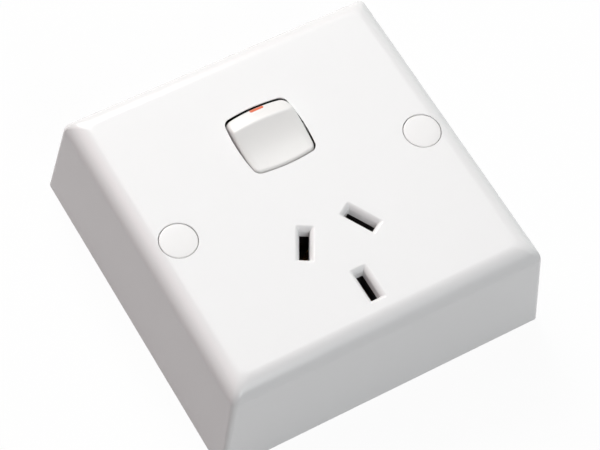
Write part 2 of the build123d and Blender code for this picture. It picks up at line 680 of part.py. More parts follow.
def swing_body():
    """Body turned about the pivot: bowed sides and ends, rounded where they meet.

    Half way to a corner, a shallow bow has fallen by a quarter of its height.
    """
    half, radius = ROCKER_HALF_WIDTH, SWING_R
    corner_x, corner_r = half - OPENING_BOW, radius - OPENING_BOW
    outline = [
        Line((-half, 0), (half, 0)),
        ThreePointArc((half, 0), (half - OPENING_BOW / 4, corner_r / 2), (corner_x, corner_r)),
        ThreePointArc((corner_x, corner_r), (0, radius), (-corner_x, corner_r)),
        ThreePointArc((-corner_x, corner_r), (-half + OPENING_BOW / 4, corner_r / 2), (-half, 0)),
    ]
    face = make_face(Curve() + outline)
    face = fillet(face.vertices().group_by(Axis.Y)[-1], OPENING_CORNER_R)
    return revolve(face, Axis.X, 360)


def rocker_top(drop):
    """Everything under the rocker's top surface: a crowned strip and a finger dish, lowered by drop."""
    ridge_y, ridge_z = RIDGE_OFFSET, PIVOT_DEPTH + RIDGE_RISE
    edge_z = PIVOT_DEPTH + TOP_EDGE_RISE
    edge_y = sqrt(SWING_R ** 2 - edge_z ** 2)
    low_z = PIVOT_DEPTH
    low_y = -sqrt(SWING_R ** 2 - low_z ** 2)
    fall = degrees(atan((ridge_z - edge_z) / (edge_y - ridge_y)))
    crown = Rot(-fall, 0, 0) * Rot(90, 0, 0) * Cylinder(CROWN_R, 4 * SWING_R)
    centre_y = ridge_y - CROWN_R * sin(radians(fall))
    centre_z = ridge_z - CROWN_R * cos(radians(fall))
    crown = Pos(0, centre_y, centre_z - drop) * crown
    chord = hypot(ridge_y - low_y, ridge_z - low_z)
    dish_r = chord ** 2 / (8 * DISH_SAG) + DISH_SAG / 2
    lift = dish_r - DISH_SAG
    mid_y, mid_z = (ridge_y + low_y) / 2, (ridge_z + low_z) / 2
    dish_y = mid_y - lift * (ridge_z - low_z) / chord
    dish_z = mid_z + lift * (ridge_y - low_y) / chord
    dish = Pos(0, dish_y, dish_z - drop) * Rot(0, 90, 0) * Cylinder(dish_r, 4 * SWING_R)
    return crown - dish


def neutral(shape):
    """Turn a shape drawn on the level rocker to the on position."""
    return Rot(HALF_TRAVEL, 0, 0) * shape


def make_rocker_pieces():
    """The rocker moulding and the orange mark let into its strip."""
    far = 2 * SWING_R
    above_skirt = neutral(block(-far, far, -far, far, -SKIRT_REACH, far))
    solid = swing_body() & rocker_top(0) & above_skirt
    solid = fillet(top_rim(solid), ROCKER_RIM)
    hollow_half = sqrt(SWING_R ** 2 - PIVOT_DEPTH ** 2) - ROCKER_SKIN
    hollow_plan = RectangleRounded(2 * (ROCKER_HALF_WIDTH - ROCKER_SKIN), 2 * hollow_half, ROCKER_HOLLOW_R)
    hollow = neutral(upright(hollow_plan, -far, far)) & rocker_top(ROCKER_SKIN)
    rocker = solid - hollow
    bore_r = PLUNGER_R + PLUNGER_BORE_FIT
    boss = neutral(post(0, 0, bore_r + BOSS_WALL, -BOSS_REACH, PIVOT_DEPTH))
    rib = neutral(block(
        -ROCKER_HALF_WIDTH + ROCKER_SKIN / 2, ROCKER_HALF_WIDTH - ROCKER_SKIN / 2,
        -TRUNNION_R, TRUNNION_R, -SKIRT_REACH, PIVOT_DEPTH,
    ))
    rocker += (boss + rib) & (rocker_top(ROCKER_SKIN / 2))
    for side in (-1, 1):
        inner = side * (ROCKER_HALF_WIDTH - ROCKER_SKIN)
        outer = side * (ROCKER_HALF_WIDTH + TRUNNION_REACH)
        middle, length = (inner + outer) / 2, abs(outer - inner)
        rocker += Pos(middle, 0, 0) * Rot(0, 90, 0) * Cylinder(TRUNNION_R, length)
    rocker -= neutral(post(0, 0, bore_r, -BOSS_REACH, spring_top()))
    edge_z = PIVOT_DEPTH + TOP_EDGE_RISE
    edge_y = sqrt(SWING_R ** 2 - edge_z ** 2)
    fall = degrees(atan((RIDGE_RISE - TOP_EDGE_RISE) / (edge_y - RIDGE_OFFSET)))
    mark_sketch = RectangleRounded(MARK_WIDTH, MARK_LENGTH, MARK_CORNER_R)
    pocket = extrude(mark_sketch, amount=MARK_DEPTH, both=True)
    along = MARK_INSET + MARK_LENGTH / 2
    mark_y = edge_y - along * cos(radians(fall))
    mark_z = edge_z + along * sin(radians(fall))
    pocket = Pos(MARK_X, mark_y, mark_z) * Rot(-fall, 0, 0) * pocket
    mark = solid & pocket
    rocker -= pocket
    place = Pos(0, ROCKER_Y, PIVOT_Z)
    return place * rocker, place * mark


def top_rim(solid):
    """Edges round the rocker's top surface, and the ridge across it."""
    level = PIVOT_DEPTH - FACE_THICK
    return [e for e in solid.edges() if e.bounding_box().min.Z > level]


def spring_top():
    """Height of the bore's closed end above the pivot, on the level rocker."""
    return PIVOT_DEPTH - ROCKER_SKIN / 2


def make_plunger():
    """Round-nosed plunger that the spring presses on the arm."""
    nose = Pos(0, 0, -PLUNGER_REACH + PLUNGER_R) * Sphere(PLUNGER_R)
    bar = post(0, 0, PLUNGER_R, -PLUNGER_REACH + PLUNGER_R, -PLUNGER_HEAD)
    return Pos(0, ROCKER_Y, PIVOT_Z) * neutral(bar + nose)


def make_spring():
    """Compression spring between the plunger and the rocker."""
    low = -PLUNGER_HEAD + SPRING_WIRE_R + SPRING_FIT
    high = spring_top() - SPRING_WIRE_R - SPRING_FIT
    radius = PLUNGER_R - SPRING_WIRE_R
    height = high - low
    path = Helix(pitch=height / SPRING_TURNS, height=height, radius=radius)
    section = Plane(path @ 0, z_dir=path % 0) * RegularPolygon(SPRING_WIRE_R, SPRING_SIDES)
    coil = Pos(0, 0, low) * sweep(section, path=path, is_frenet=True)
    return Pos(0, ROCKER_Y, PIVOT_Z) * neutral(coil)


def build():
    """All pieces by node name."""
    rocker, mark = make_rocker_pieces()
    nodes = {
        "cover": make_cover(),
        "screw_cap_left": make_cap(-1),
        "screw_cap_right": make_cap(1),
        "cover_screws": make_cover_screws(),
        "pillar_inserts": make_inserts(),
        "base": make_base(),
        "mechanism_housing": make_housing(),
        "contact_retainer": make_retainer(),
        "retainer_screws": make_retainer_screws(),
        "housing_screws": make_housing_screws(),
        "switched_active_contact": make_switched_contact(),
        "neutral_contact": make_terminal_contact("neutral"),
        "earth_contact": make_terminal_contact("earth"),
        "fixed_contact": make_fixed_contact(),
        "fixed_contact_tip": make_fixed_tip(),
        "contact_arm": make_arm(),
        "contact_arm_tip": make_moving_tip(),
        "clamp_screws": make_clamp_screws(),
        "rocker": rocker,
        "on_mark": mark,
        "plunger": make_plunger(),
        "plunger_spring": make_spring(),
    }
    for name in TERMINALS:
        nodes[name + "_terminal"] = make_terminal(name)
    return nodes


def write(nodes):
    """One STEP file for each node."""
    os.makedirs("parts", exist_ok=True)
    for name, shape in nodes.items():
        whole = Compound(children=shape) if isinstance(shape, list) else shape
        export_step(whole, os.path.join("parts", name + ".step"))


write(build())
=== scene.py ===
"""Dresses the surface socket outlet and lights it on a pale floor.

The outlet stands in the part's own frame: its back lies on z = 0, +Y runs up the face
towards the rocker and +Z out of the face. Shapes are worked out in millimetres and become
metres with their meshes.
"""

import json
import logging
from collections.abc import Iterator
from contextlib import contextmanager
from dataclasses import dataclass, field
from enum import Enum
from math import atan, ceil, cos, hypot, pi, radians, sin, sqrt

import bmesh
import bpy
import numpy as np
from mathutils import Matrix, Vector

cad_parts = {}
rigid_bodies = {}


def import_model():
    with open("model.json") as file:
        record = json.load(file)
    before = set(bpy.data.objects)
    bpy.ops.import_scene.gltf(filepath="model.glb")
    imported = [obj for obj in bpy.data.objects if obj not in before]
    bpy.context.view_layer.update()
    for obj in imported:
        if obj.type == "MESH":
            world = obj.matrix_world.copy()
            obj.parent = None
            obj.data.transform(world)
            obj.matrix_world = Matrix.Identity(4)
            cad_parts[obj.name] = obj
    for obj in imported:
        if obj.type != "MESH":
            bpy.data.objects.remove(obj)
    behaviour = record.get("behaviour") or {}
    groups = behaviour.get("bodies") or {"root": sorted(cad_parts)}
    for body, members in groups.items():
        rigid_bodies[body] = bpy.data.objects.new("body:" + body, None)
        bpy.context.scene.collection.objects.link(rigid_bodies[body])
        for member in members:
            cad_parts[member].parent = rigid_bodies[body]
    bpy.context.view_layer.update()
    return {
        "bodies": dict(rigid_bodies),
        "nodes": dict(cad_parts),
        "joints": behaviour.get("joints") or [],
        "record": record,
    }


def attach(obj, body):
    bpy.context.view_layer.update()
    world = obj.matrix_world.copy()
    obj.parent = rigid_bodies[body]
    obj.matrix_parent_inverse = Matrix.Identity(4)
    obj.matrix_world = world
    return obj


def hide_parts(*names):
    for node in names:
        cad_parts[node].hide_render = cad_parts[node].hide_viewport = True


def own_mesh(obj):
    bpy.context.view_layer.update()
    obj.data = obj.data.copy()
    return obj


LOG = logging.getLogger("socket")
MM = 0.001
# In millimetres: points nearer than this are one, the least radii, and how far a cutter reaches past
WELD_MM = 0.001
LEAST_CORNER = 0.02
LEAST_RADIUS = 0.01
CLEAR = 1.0
# Angles between faces that are shaded sharp, taken as flat, and rounded
SMOOTH_ANGLE = radians(32)
FLAT_ANGLE = radians(1)
BEVEL_ANGLE = radians(35)
RINGS_PER_PITCH = 8
NOISE_LOW = 0.3
NOISE_HIGH = 0.7
WHITE = (1.0, 1.0, 1.0, 1.0)
Colour = tuple[float, float, float]
Point = tuple[float, float, float]


@dataclass(frozen=True)
class Bend:
    """A corner of a section: how far out it stands, its height and its rounding."""

    out: float
    height: float
    radius: float = 0.0


def rounded_section(bends: list[Bend], steps: int = 6) -> np.ndarray:
    """Section line through corners, each rounded by an arc tangent to its two runs.

    An arc of radius r at a corner that turns by t starts r tan(t / 2) before the corner.

    Args:
        bends: the corners in order, the first and last of them sharp.
        steps: straight pieces in each arc.

    Returns:
        Rows of distance out and height.
    """
    corners = np.array([(bend.out, bend.height) for bend in bends])
    rows = [corners[:1]]
    for before, corner, after, bend in zip(corners, corners[1:], corners[2:], bends[1:]):
        inward = (corner - before) / np.linalg.norm(corner - before)
        onward = (after - corner) / np.linalg.norm(after - corner)
        turn = np.arctan2(inward[0] * onward[1] - inward[1] * onward[0], inward @ onward)
        side = np.sign(turn) * np.array([-inward[1], inward[0]]) * bend.radius
        start = corner - inward * bend.radius * abs(np.tan(turn / 2))
        angle = np.linspace(0, abs(turn), steps + 1 if bend.radius else 1)[:, None]
        rows.append(start + side * (1 - np.cos(angle)) + inward * bend.radius * np.sin(angle))
    rows.append(corners[-1:])
    return np.concatenate(rows)


def full_turn(steps: int) -> np.ndarray:
    """Angles of a full turn in equal steps."""
    return np.arange(steps) * 2 * pi / steps


def raised(plan: np.ndarray, height: np.ndarray) -> np.ndarray:
    """Rings of plan points with a height for each point, or with a column of one for each ring."""
    return np.concatenate([plan, np.broadcast_to(height, plan.shape[:2])[..., None]], axis=-1)


def round_axis(radius: np.ndarray, angle: np.ndarray, height: np.ndarray, x: float = 0.0) -> np.ndarray:
    """Rings of points about an upright axis at x, each point at x + r cos a and r sin a."""
    return np.stack([x + radius * np.cos(angle), radius * np.sin(angle), height + 0 * radius], axis=-1)


def thread_wave(down: np.ndarray, pitch: float, angle: np.ndarray) -> np.ndarray:
    """Twice how far the height over the pitch less the angle over a turn is from a whole number."""
    turns = down / pitch - angle / (2 * pi)
    return np.abs(2 * (turns - np.round(turns)))


def placed(name: str, data: bpy.types.ID) -> bpy.types.Object:
    """Adds an object to the scene.

    Args:
        name: the object's name.
        data: its mesh, light or camera.

    Returns:
        The object.
    """
    added = bpy.data.objects.new(name, data)
    bpy.context.scene.collection.objects.link(added)
    return added


@contextmanager
def edited(mesh: bpy.types.Mesh, source: bpy.types.Mesh) -> Iterator[bmesh.types.BMesh]:
    """Lets a mesh's points and faces be changed.

    Args:
        mesh: where the changed points and faces are put.
        source: where they come from, which may be the same mesh.

    Yields:
        The points and faces.
    """
    work = bmesh.new()
    work.from_mesh(source)
    yield work
    work.to_mesh(mesh)
    work.free()


@dataclass(frozen=True)
class RoundedBox:
    """Plan outline of a rectangle with rounded corners, turned about its centre.

    As it grows by one millimetre, its corner radius grows by spread.
    """

    half_x: float
    half_y: float
    corner: float
    centre: tuple[float, float] = (0.0, 0.0)
    turn: float = 0.0
    spread: float = 1.0
    steps: int = 6

    def at(self, grow: np.ndarray) -> np.ndarray:
        """Outlines grown outwards: each corner is a quarter circle, joined by straight sides.

        Args:
            grow: how far each outline stands outside this one.

        Returns:
            One closed ring of plan points for each value.
        """
        angle = np.linspace(0, pi / 2, self.steps + 1)
        angle = (angle[None] + pi / 2 * np.arange(4)[:, None]).ravel()
        sign_x = np.repeat([1, -1, -1, 1], self.steps + 1)
        sign_y = np.repeat([1, 1, -1, -1], self.steps + 1)
        grow = np.asarray(grow)[:, None]
        radius = np.maximum(self.corner + self.spread * grow, LEAST_CORNER)
        x = sign_x * (self.half_x + grow - radius) + radius * np.cos(angle)
        y = sign_y * (self.half_y + grow - radius) + radius * np.sin(angle)
        turn = radians(self.turn)
        across = self.centre[0] + x * cos(turn) - y * sin(turn)
        along = self.centre[1] + x * sin(turn) + y * cos(turn)
        return np.stack([across, along], axis=-1)


@dataclass(frozen=True)
class Round:
    """Plan outline of a circle."""

    centre: tuple[float, float] = (0.0, 0.0)
    steps: int = 96

    def at(self, grow: np.ndarray) -> np.ndarray:
        """Circles about the centre, each point at r cos a and r sin a.

        Args:
            grow: the radius of each circle.

        Returns:
            One closed ring of plan points for each value.
        """
        angle = full_turn(self.steps)
        radius = np.maximum(np.asarray(grow), LEAST_RADIUS)[:, None]
        across = self.centre[0] + radius * np.cos(angle)
        return np.stack([across, self.centre[1] + radius * np.sin(angle)], axis=-1)


@dataclass(frozen=True)
class BowedSquare:
    """Plan outline with four bowed sides and rounded corners."""

    width: float
    length: float
    bow: float
    corner: float
    centre: tuple[float, float] = (0.0, 0.0)
    steps: int = 16

    def quarter(self) -> tuple[np.ndarray, np.ndarray, np.ndarray]:
        """Arcs of the quarter between +X and +Y.

        Each side is an arc through its two virtual corners and its middle. A corner's circle
        touches both side arcs from inside, so its centre is where those arcs, drawn smaller
        by the corner's radius, cross.

        Returns:
            For each point of the quarter the centre, radius and angle of its arc.
        """
        x, y = self.width / 2 - self.bow, self.length / 2 - self.bow
        side_r = (y * y + self.bow * self.bow) / (2 * self.bow)
        end_r = (x * x + self.bow * self.bow) / (2 * self.bow)
        side_centre = np.array([self.width / 2 - side_r, 0.0])
        end_centre = np.array([0.0, self.length / 2 - end_r])
        near, far = side_r - self.corner, end_r - self.corner
        gap = end_centre - side_centre
        apart = np.linalg.norm(gap)
        along = (near * near - far * far + apart * apart) / (2 * apart)
        off = sqrt(near * near - along * along)
        knee = side_centre + (gap * along + np.array([-gap[1], gap[0]]) * off) / apart
        low = np.arctan2(*(knee - side_centre)[::-1])
        high = np.arctan2(*(knee - end_centre)[::-1])
        share = np.arange(self.steps) / self.steps
        centres = np.repeat([side_centre, knee, end_centre], self.steps, axis=0)
        radii = np.repeat([side_r, self.corner, end_r], self.steps)
        angles = np.concatenate([low * share, low + (high - low) * share, high + (pi / 2 - high) * share])
        return (
            np.concatenate([centres, end_centre[None]]),
            np.append(radii, end_r),
            np.append(angles, pi / 2),
        )

    def at(self, grow: np.ndarray) -> np.ndarray:
        """Outlines grown outwards: every radius grows and every centre stays.

        Args:
            grow: how far each outline stands outside this one.

        Returns:
            One closed ring of plan points for each value.
        """
        centres, radii, angles = self.quarter()
        reach = (radii + np.asarray(grow)[:, None])[..., None]
        quarter = centres + reach * np.stack([np.cos(angles), np.sin(angles)], axis=-1)
        return four_quarters(quarter) + np.array(self.centre)


def four_quarters(quarter: np.ndarray) -> np.ndarray:
    """Closed rings from the quarter between +X and +Y with both its ends, mirrored in both axes."""
    onward, backward = quarter[:, :-1], quarter[:, :0:-1]
    return np.concatenate([onward, backward * (-1, 1), onward * (-1, -1), backward * (1, -1)], axis=1)


Outline = RoundedBox | Round | BowedSquare


@dataclass
class Solid:
    """A closed surface in millimetres: its points and the faces between them."""

    points: np.ndarray
    faces: list[list[int]]

    @classmethod
    def stack(cls, rings: np.ndarray, loop: bool = False) -> "Solid":
        """Closed surface through rings of points, neighbours joined by four-sided faces.

        Args:
            rings: ring, point in the ring, and x, y and z.
            loop: whether the last ring is joined to the first, and not both closed by a face.

        Returns:
            The solid.
        """
        index = np.arange(rings.shape[0] * rings.shape[1]).reshape(rings.shape[:2])
        low, high = (index, np.roll(index, -1, 0)) if loop else (index[:-1], index[1:])
        quads = np.stack([low, np.roll(low, -1, 1), np.roll(high, -1, 1), high], axis=-1)
        ends = [] if loop else [index[0, ::-1].tolist(), index[-1].tolist()]
        return cls(rings.reshape(-1, 3), quads.reshape(-1, 4).tolist() + ends)

    @classmethod
    def sweep(cls, outline: Outline, section: np.ndarray, loop: bool = False) -> "Solid":
        """Section line, rows of distance out and height, carried round an outline."""
        return cls.stack(raised(outline.at(section[:, 0]), section[:, 1:]), loop)

    @classmethod
    def prism(cls, outline: Outline, low: float, high: float) -> "Solid":
        """Outline carried from one height to another."""
        return cls.sweep(outline, np.array([(0.0, low), (0.0, high)]))

    def moved(self, place: Matrix) -> "Solid":
        """This solid under a turn and a shift: each point p becomes R p + t."""
        turn = np.array(place.to_3x3())
        return Solid(self.points @ turn.T + np.array(place.translation), self.faces)

    def mesh(self, name: str) -> bpy.types.Mesh:
        """Mesh with its faces looking outwards.

        Args:
            name: the mesh's name.

        Returns:
            The mesh, in millimetres.
        """
        mesh = bpy.data.meshes.new(name)
        mesh.from_pydata(self.points, [], self.faces)
        with edited(mesh, mesh) as work:
            bmesh.ops.recalc_face_normals(work, faces=work.faces)
        return mesh


@dataclass
class Shaping:
    """One piece being shaped in millimetres: a solid, and what is joined to it and cut from it."""

    name: str
    start: Solid
    steps: list[tuple[str, Solid]] = field(default_factory=list)

    def join(self, *solids: Solid) -> "Shaping":
        """Adds solids."""
        self.steps += [("UNION", solid) for solid in solids]
        return self

    def cut(self, *solids: Solid) -> "Shaping":
        """Takes solids away."""
        self.steps += [("DIFFERENCE", solid) for solid in solids]
        return self

    def keep(self, solid: Solid) -> "Shaping":
        """Keeps what lies inside a solid."""
        self.steps.append(("INTERSECT", solid))
        return self

    def mesh(self) -> bpy.types.Mesh:
        """Joins and cuts in order, then welds points that coincide and drops slivers.

        Returns:
            The finished mesh, in metres.
        """
        helpers = [placed(self.name, self.start.mesh(self.name))]
        for number, (operation, solid) in enumerate(self.steps):
            tool = placed("tool", solid.mesh(f"{self.name}_tool_{number}"))
            helpers.append(tool)
            step = helpers[0].modifiers.new(operation, "BOOLEAN")
            step.operation = operation
            step.object = tool
            step.solver = "EXACT"
        shaped = helpers[0].evaluated_get(bpy.context.evaluated_depsgraph_get())
        mesh = bpy.data.meshes.new_from_object(shaped)
        for helper in helpers:
            spent = helper.data
            bpy.data.objects.remove(helper)
            bpy.data.meshes.remove(spent)
        mesh.name = self.name
        with edited(mesh, mesh) as work:
            bmesh.ops.remove_doubles(work, verts=work.verts, dist=WELD_MM)
            bmesh.ops.dissolve_degenerate(work, dist=WELD_MM, edges=work.edges)
        mesh.transform(Matrix.Scale(MM, 4))
        return mesh


@dataclass(frozen=True)
class Noise:
    """Fineness of noise: its cells per metre and its octaves of finer detail."""

    scale: float
    detail: float


@dataclass
class NodeKit:
    """Shader nodes of one material, with short calls to add and join them."""

    material: bpy.types.Material

    @classmethod
    def start(cls, name: str) -> "NodeKit":
        """Material with an output and one Principled shader.

        Args:
            name: the material's name.
        """
        material = bpy.data.materials.new(name)
        material.use_nodes = True
        return cls(material)

    @property
    def shader(self) -> bpy.types.Node:
        """The Principled shader."""
        return self.material.node_tree.nodes["Principled BSDF"]

    @staticmethod
    def fill(node: bpy.types.Node, sockets: dict[str, object]) -> None:
        """Sets the values of a node's named sockets."""
        for name, value in sockets.items():
            node.inputs[name].default_value = value

    def add(self, kind: str, sockets: dict[str, object] | None = None) -> bpy.types.Node:
        """Adds a node.

        Args:
            kind: the node's type name.
            sockets: values for its sockets, by their names.

        Returns:
            The new node.
        """
        node = self.material.node_tree.nodes.new(kind)
        self.fill(node, sockets or {})
        return node

    def join(self, source: bpy.types.NodeSocket, target: bpy.types.NodeSocket) -> None:
        """Links two sockets."""
        self.material.node_tree.links.new(source, target)

    def place(self, scale: Point) -> bpy.types.NodeSocket:
        """Object coordinates, stretched.

        Args:
            scale: how much each axis is stretched.

        Returns:
            The socket with the coordinates.
        """
        coordinates = self.add("ShaderNodeTexCoord")
        mapping = self.add("ShaderNodeMapping", {"Scale": scale})
        self.join(coordinates.outputs["Object"], mapping.inputs["Vector"])
        return mapping.outputs["Vector"]

    def noise(self, pattern: Noise, stretch: Point = (1.0, 1.0, 1.0)) -> bpy.types.NodeSocket:
        """Noise from 0 to 1.

        Args:
            pattern: how fine the noise is.
            stretch: how much each axis is stretched.

        Returns:
            The socket with the noise.
        """
        node = self.add("ShaderNodeTexNoise", {"Scale": pattern.scale, "Detail": pattern.detail})
        self.join(self.place(stretch), node.inputs["Vector"])
        return node.outputs["Fac"]

    def ramp(self, source: bpy.types.NodeSocket, low: float, high: float) -> bpy.types.NodeSocket:
        """Spreads noise between two values.

        Args:
            source: noise round 0.5.
            low: the value where the noise is NOISE_LOW.
            high: the value where it is NOISE_HIGH.

        Returns:
            The socket with the spread value.
        """
        span = {"From Min": NOISE_LOW, "From Max": NOISE_HIGH, "To Min": low, "To Max": high}
        node = self.add("ShaderNodeMapRange", span)
        self.join(source, node.inputs["Value"])
        return node.outputs["Result"]

    def blend(self, factor: bpy.types.NodeSocket, first: Colour, second: Colour) -> bpy.types.NodeSocket:
        """Mixes two colours.

        Args:
            factor: 0 for the first colour and 1 for the second.
            first: linear red, green and blue.
            second: linear red, green and blue.

        Returns:
            The socket with the mixed colour.
        """
        node = self.add("ShaderNodeMix")
        node.data_type = "RGBA"
        ends = [socket for socket in node.inputs if socket.type == "RGBA"]
        for socket, colour in zip(ends, (first, second)):
            socket.default_value = (*colour, 1.0)
        self.join(factor, node.inputs["Factor"])
        return next(socket for socket in node.outputs if socket.type == "RGBA")

    def bump(self, heights: list[tuple[bpy.types.NodeSocket, float]]) -> None:
        """Adds surface relief.

        Args:
            heights: pairs of a height from 0 to 1 and its depth in metres.
        """
        normal = None
        for height, depth in heights:
            node = self.add("ShaderNodeBump", {"Strength": 1.0, "Distance": depth})
            self.join(height, node.inputs["Height"])
            if normal is not None:
                self.join(normal, node.inputs["Normal"])
            normal = node.outputs["Normal"]
        if normal is not None:
            self.join(normal, self.shader.inputs["Normal"])


@dataclass(frozen=True)
class Moulding:
    """A moulded plastic finish."""

    name: str
    colour: Colour
    shade: Colour
    rough_low: float
    rough_high: float
    ripple_depth: float
    grain_depth: float
    clouds: Noise = Noise(60.0, 3.0)
    patches: Noise = Noise(180.0, 4.0)
    ripples: Noise = Noise(220.0, 1.0)
    grain: Noise = Noise(9000.0, 2.0)

    def build(self) -> bpy.types.Material:
        """Plastic with faint clouds of colour, slow flow ripples and a fine grain.

        Returns:
            The material.
        """
        kit = NodeKit.start(self.name)
        clouds = kit.ramp(kit.noise(self.clouds), 0.0, 1.0)
        kit.join(kit.blend(clouds, self.colour, self.shade), kit.shader.inputs["Base Color"])
        patches = kit.ramp(kit.noise(self.patches), self.rough_low, self.rough_high)
        kit.join(patches, kit.shader.inputs["Roughness"])
        ripples = kit.noise(self.ripples)
        grain = kit.noise(self.grain)
        kit.bump([(ripples, self.ripple_depth), (grain, self.grain_depth)])
        return kit.material


@dataclass(frozen=True)
class Metal:
    """A metal finish."""

    name: str
    colour: Colour
    tarnish: Colour
    rough_low: float
    rough_high: float
    brush_stretch: Point = (1.0, 1.0, 1.0)
    brush_depth: float = 2e-6
    patches: Noise = Noise(400.0, 4.0)
    lines: Noise = Noise(2500.0, 3.0)

    def build(self) -> bpy.types.Material:
        """Metal with drawn lines along one axis and patches of tarnish.

        Returns:
            The material.
        """
        kit = NodeKit.start(self.name)
        patches = kit.ramp(kit.noise(self.patches), 0.0, 1.0)
        kit.join(kit.blend(patches, self.colour, self.tarnish), kit.shader.inputs["Base Color"])
        lines = kit.noise(self.lines, self.brush_stretch)
        kit.join(kit.ramp(lines, self.rough_low, self.rough_high), kit.shader.inputs["Roughness"])
        kit.fill(kit.shader, {"Metallic": 1.0})
        kit.bump([(lines, self.brush_depth)])
        return kit.material


class Finish(Enum):
    """Every finish of the outlet."""

    COVER = Moulding("cover_plastic", (0.86, 0.855, 0.855), (0.855, 0.85, 0.85), 0.23, 0.265, 3e-6, 4e-7)
    CAP = Moulding("cap_plastic", (0.86, 0.85, 0.845), (0.855, 0.845, 0.84), 0.24, 0.265, 2e-6, 4e-7)
    ROCKER = Moulding("rocker_plastic", (0.85, 0.84, 0.825), (0.845, 0.835, 0.82), 0.22, 0.26, 2e-6, 4e-7)
    MARK = Moulding("mark_plastic", (0.7, 0.125, 0.04), (0.66, 0.115, 0.035), 0.3, 0.4, 1e-6, 4e-7)
    BASE = Moulding("base_plastic", (0.74, 0.735, 0.71), (0.7, 0.7, 0.68), 0.45, 0.6, 2e-6, 4e-6)
    HOUSING = Moulding("housing_thermoset", (0.012, 0.011, 0.012), (0.02, 0.018, 0.018), 0.4, 0.6, 2e-6, 5e-6)
    NYLON = Moulding("plunger_nylon", (0.7, 0.66, 0.55), (0.66, 0.62, 0.5), 0.35, 0.45, 1e-6, 1e-6)
    BRASS = Metal("contact_brass", (0.72, 0.45, 0.16), (0.5, 0.27, 0.1), 0.22, 0.42, (1.0, 1.0, 0.08))
    STEEL = Metal("plated_steel", (0.62, 0.61, 0.57), (0.5, 0.5, 0.47), 0.25, 0.45)
    SILVER = Metal("contact_silver", (0.85, 0.84, 0.82), (0.7, 0.68, 0.66), 0.15, 0.3)
    SPRING = Metal("spring_wire", (0.5, 0.5, 0.5), (0.4, 0.4, 0.41), 0.2, 0.35)


NODE_FINISH = {
    "cover": Finish.COVER,
    "screw_cap_left": Finish.CAP,
    "screw_cap_right": Finish.CAP,
    "rocker": Finish.ROCKER,
    "on_mark": Finish.MARK,
    "base": Finish.BASE,
    "mechanism_housing": Finish.HOUSING,
    "contact_retainer": Finish.HOUSING,
    "plunger": Finish.NYLON,
    "plunger_spring": Finish.SPRING,
    "cover_screws": Finish.STEEL,
    "retainer_screws": Finish.STEEL,
    "housing_screws": Finish.STEEL,
    "clamp_screws": Finish.STEEL,
    "fixed_contact_tip": Finish.SILVER,
    "contact_arm_tip": Finish.SILVER,
}


NODE_BODY = {
    "rocker": "rocker",
    "on_mark": "rocker",
    "plunger_spring": "rocker",
    "contact_arm": "contact_arm",
    "contact_arm_tip": "contact_arm",
}


@dataclass
class Workshop:
    """Dresses pieces, puts them on their bodies and keeps the finishes that they share."""

    frame: dict
    built: dict[Finish, bpy.types.Material] = field(default_factory=dict)

    def material(self, finish: Finish) -> bpy.types.Material:
        """The finish's material, built once.

        Args:
            finish: the finish.

        Returns:
            The material.
        """
        if finish not in self.built:
            self.built[finish] = finish.value.build()
        return self.built[finish]

    def dress(self, piece: bpy.types.Object, node: str) -> None:
        """Gives a piece the finish of a CAD node all over."""
        piece.data.materials.clear()
        piece.data.materials.append(self.material(NODE_FINISH.get(node, Finish.BRASS)))

    def smooth(self, piece: bpy.types.Object) -> None:
        """Shades a piece smooth between its sharp edges, its normals led by the larger faces.

        Args:
            piece: the piece.
        """
        piece.data.shade_smooth()
        piece.data.set_sharp_from_angle(angle=SMOOTH_ANGLE)
        normals = piece.modifiers.new("normals", "WEIGHTED_NORMAL")
        normals.keep_sharp = True

    def fit(self, mesh: bpy.types.Mesh, node: str) -> bpy.types.Object:
        """Makes a mesh the piece that stands for a CAD node.

        Args:
            mesh: the piece's mesh, in metres and in place.
            node: the CAD node that it replaces.

        Returns:
            The piece.
        """
        piece = placed(mesh.name, mesh)
        self.dress(piece, node)
        self.smooth(piece)
        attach(piece, NODE_BODY.get(node, "casing"))
        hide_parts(node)
        LOG.info("%s stands for %s with %d faces", piece.name, node, len(mesh.polygons))
        return piece


@dataclass(frozen=True)
class Pin:
    """Where a blade goes in: its centre and the turn of its long side from +X."""

    x: float
    y: float
    turn: float


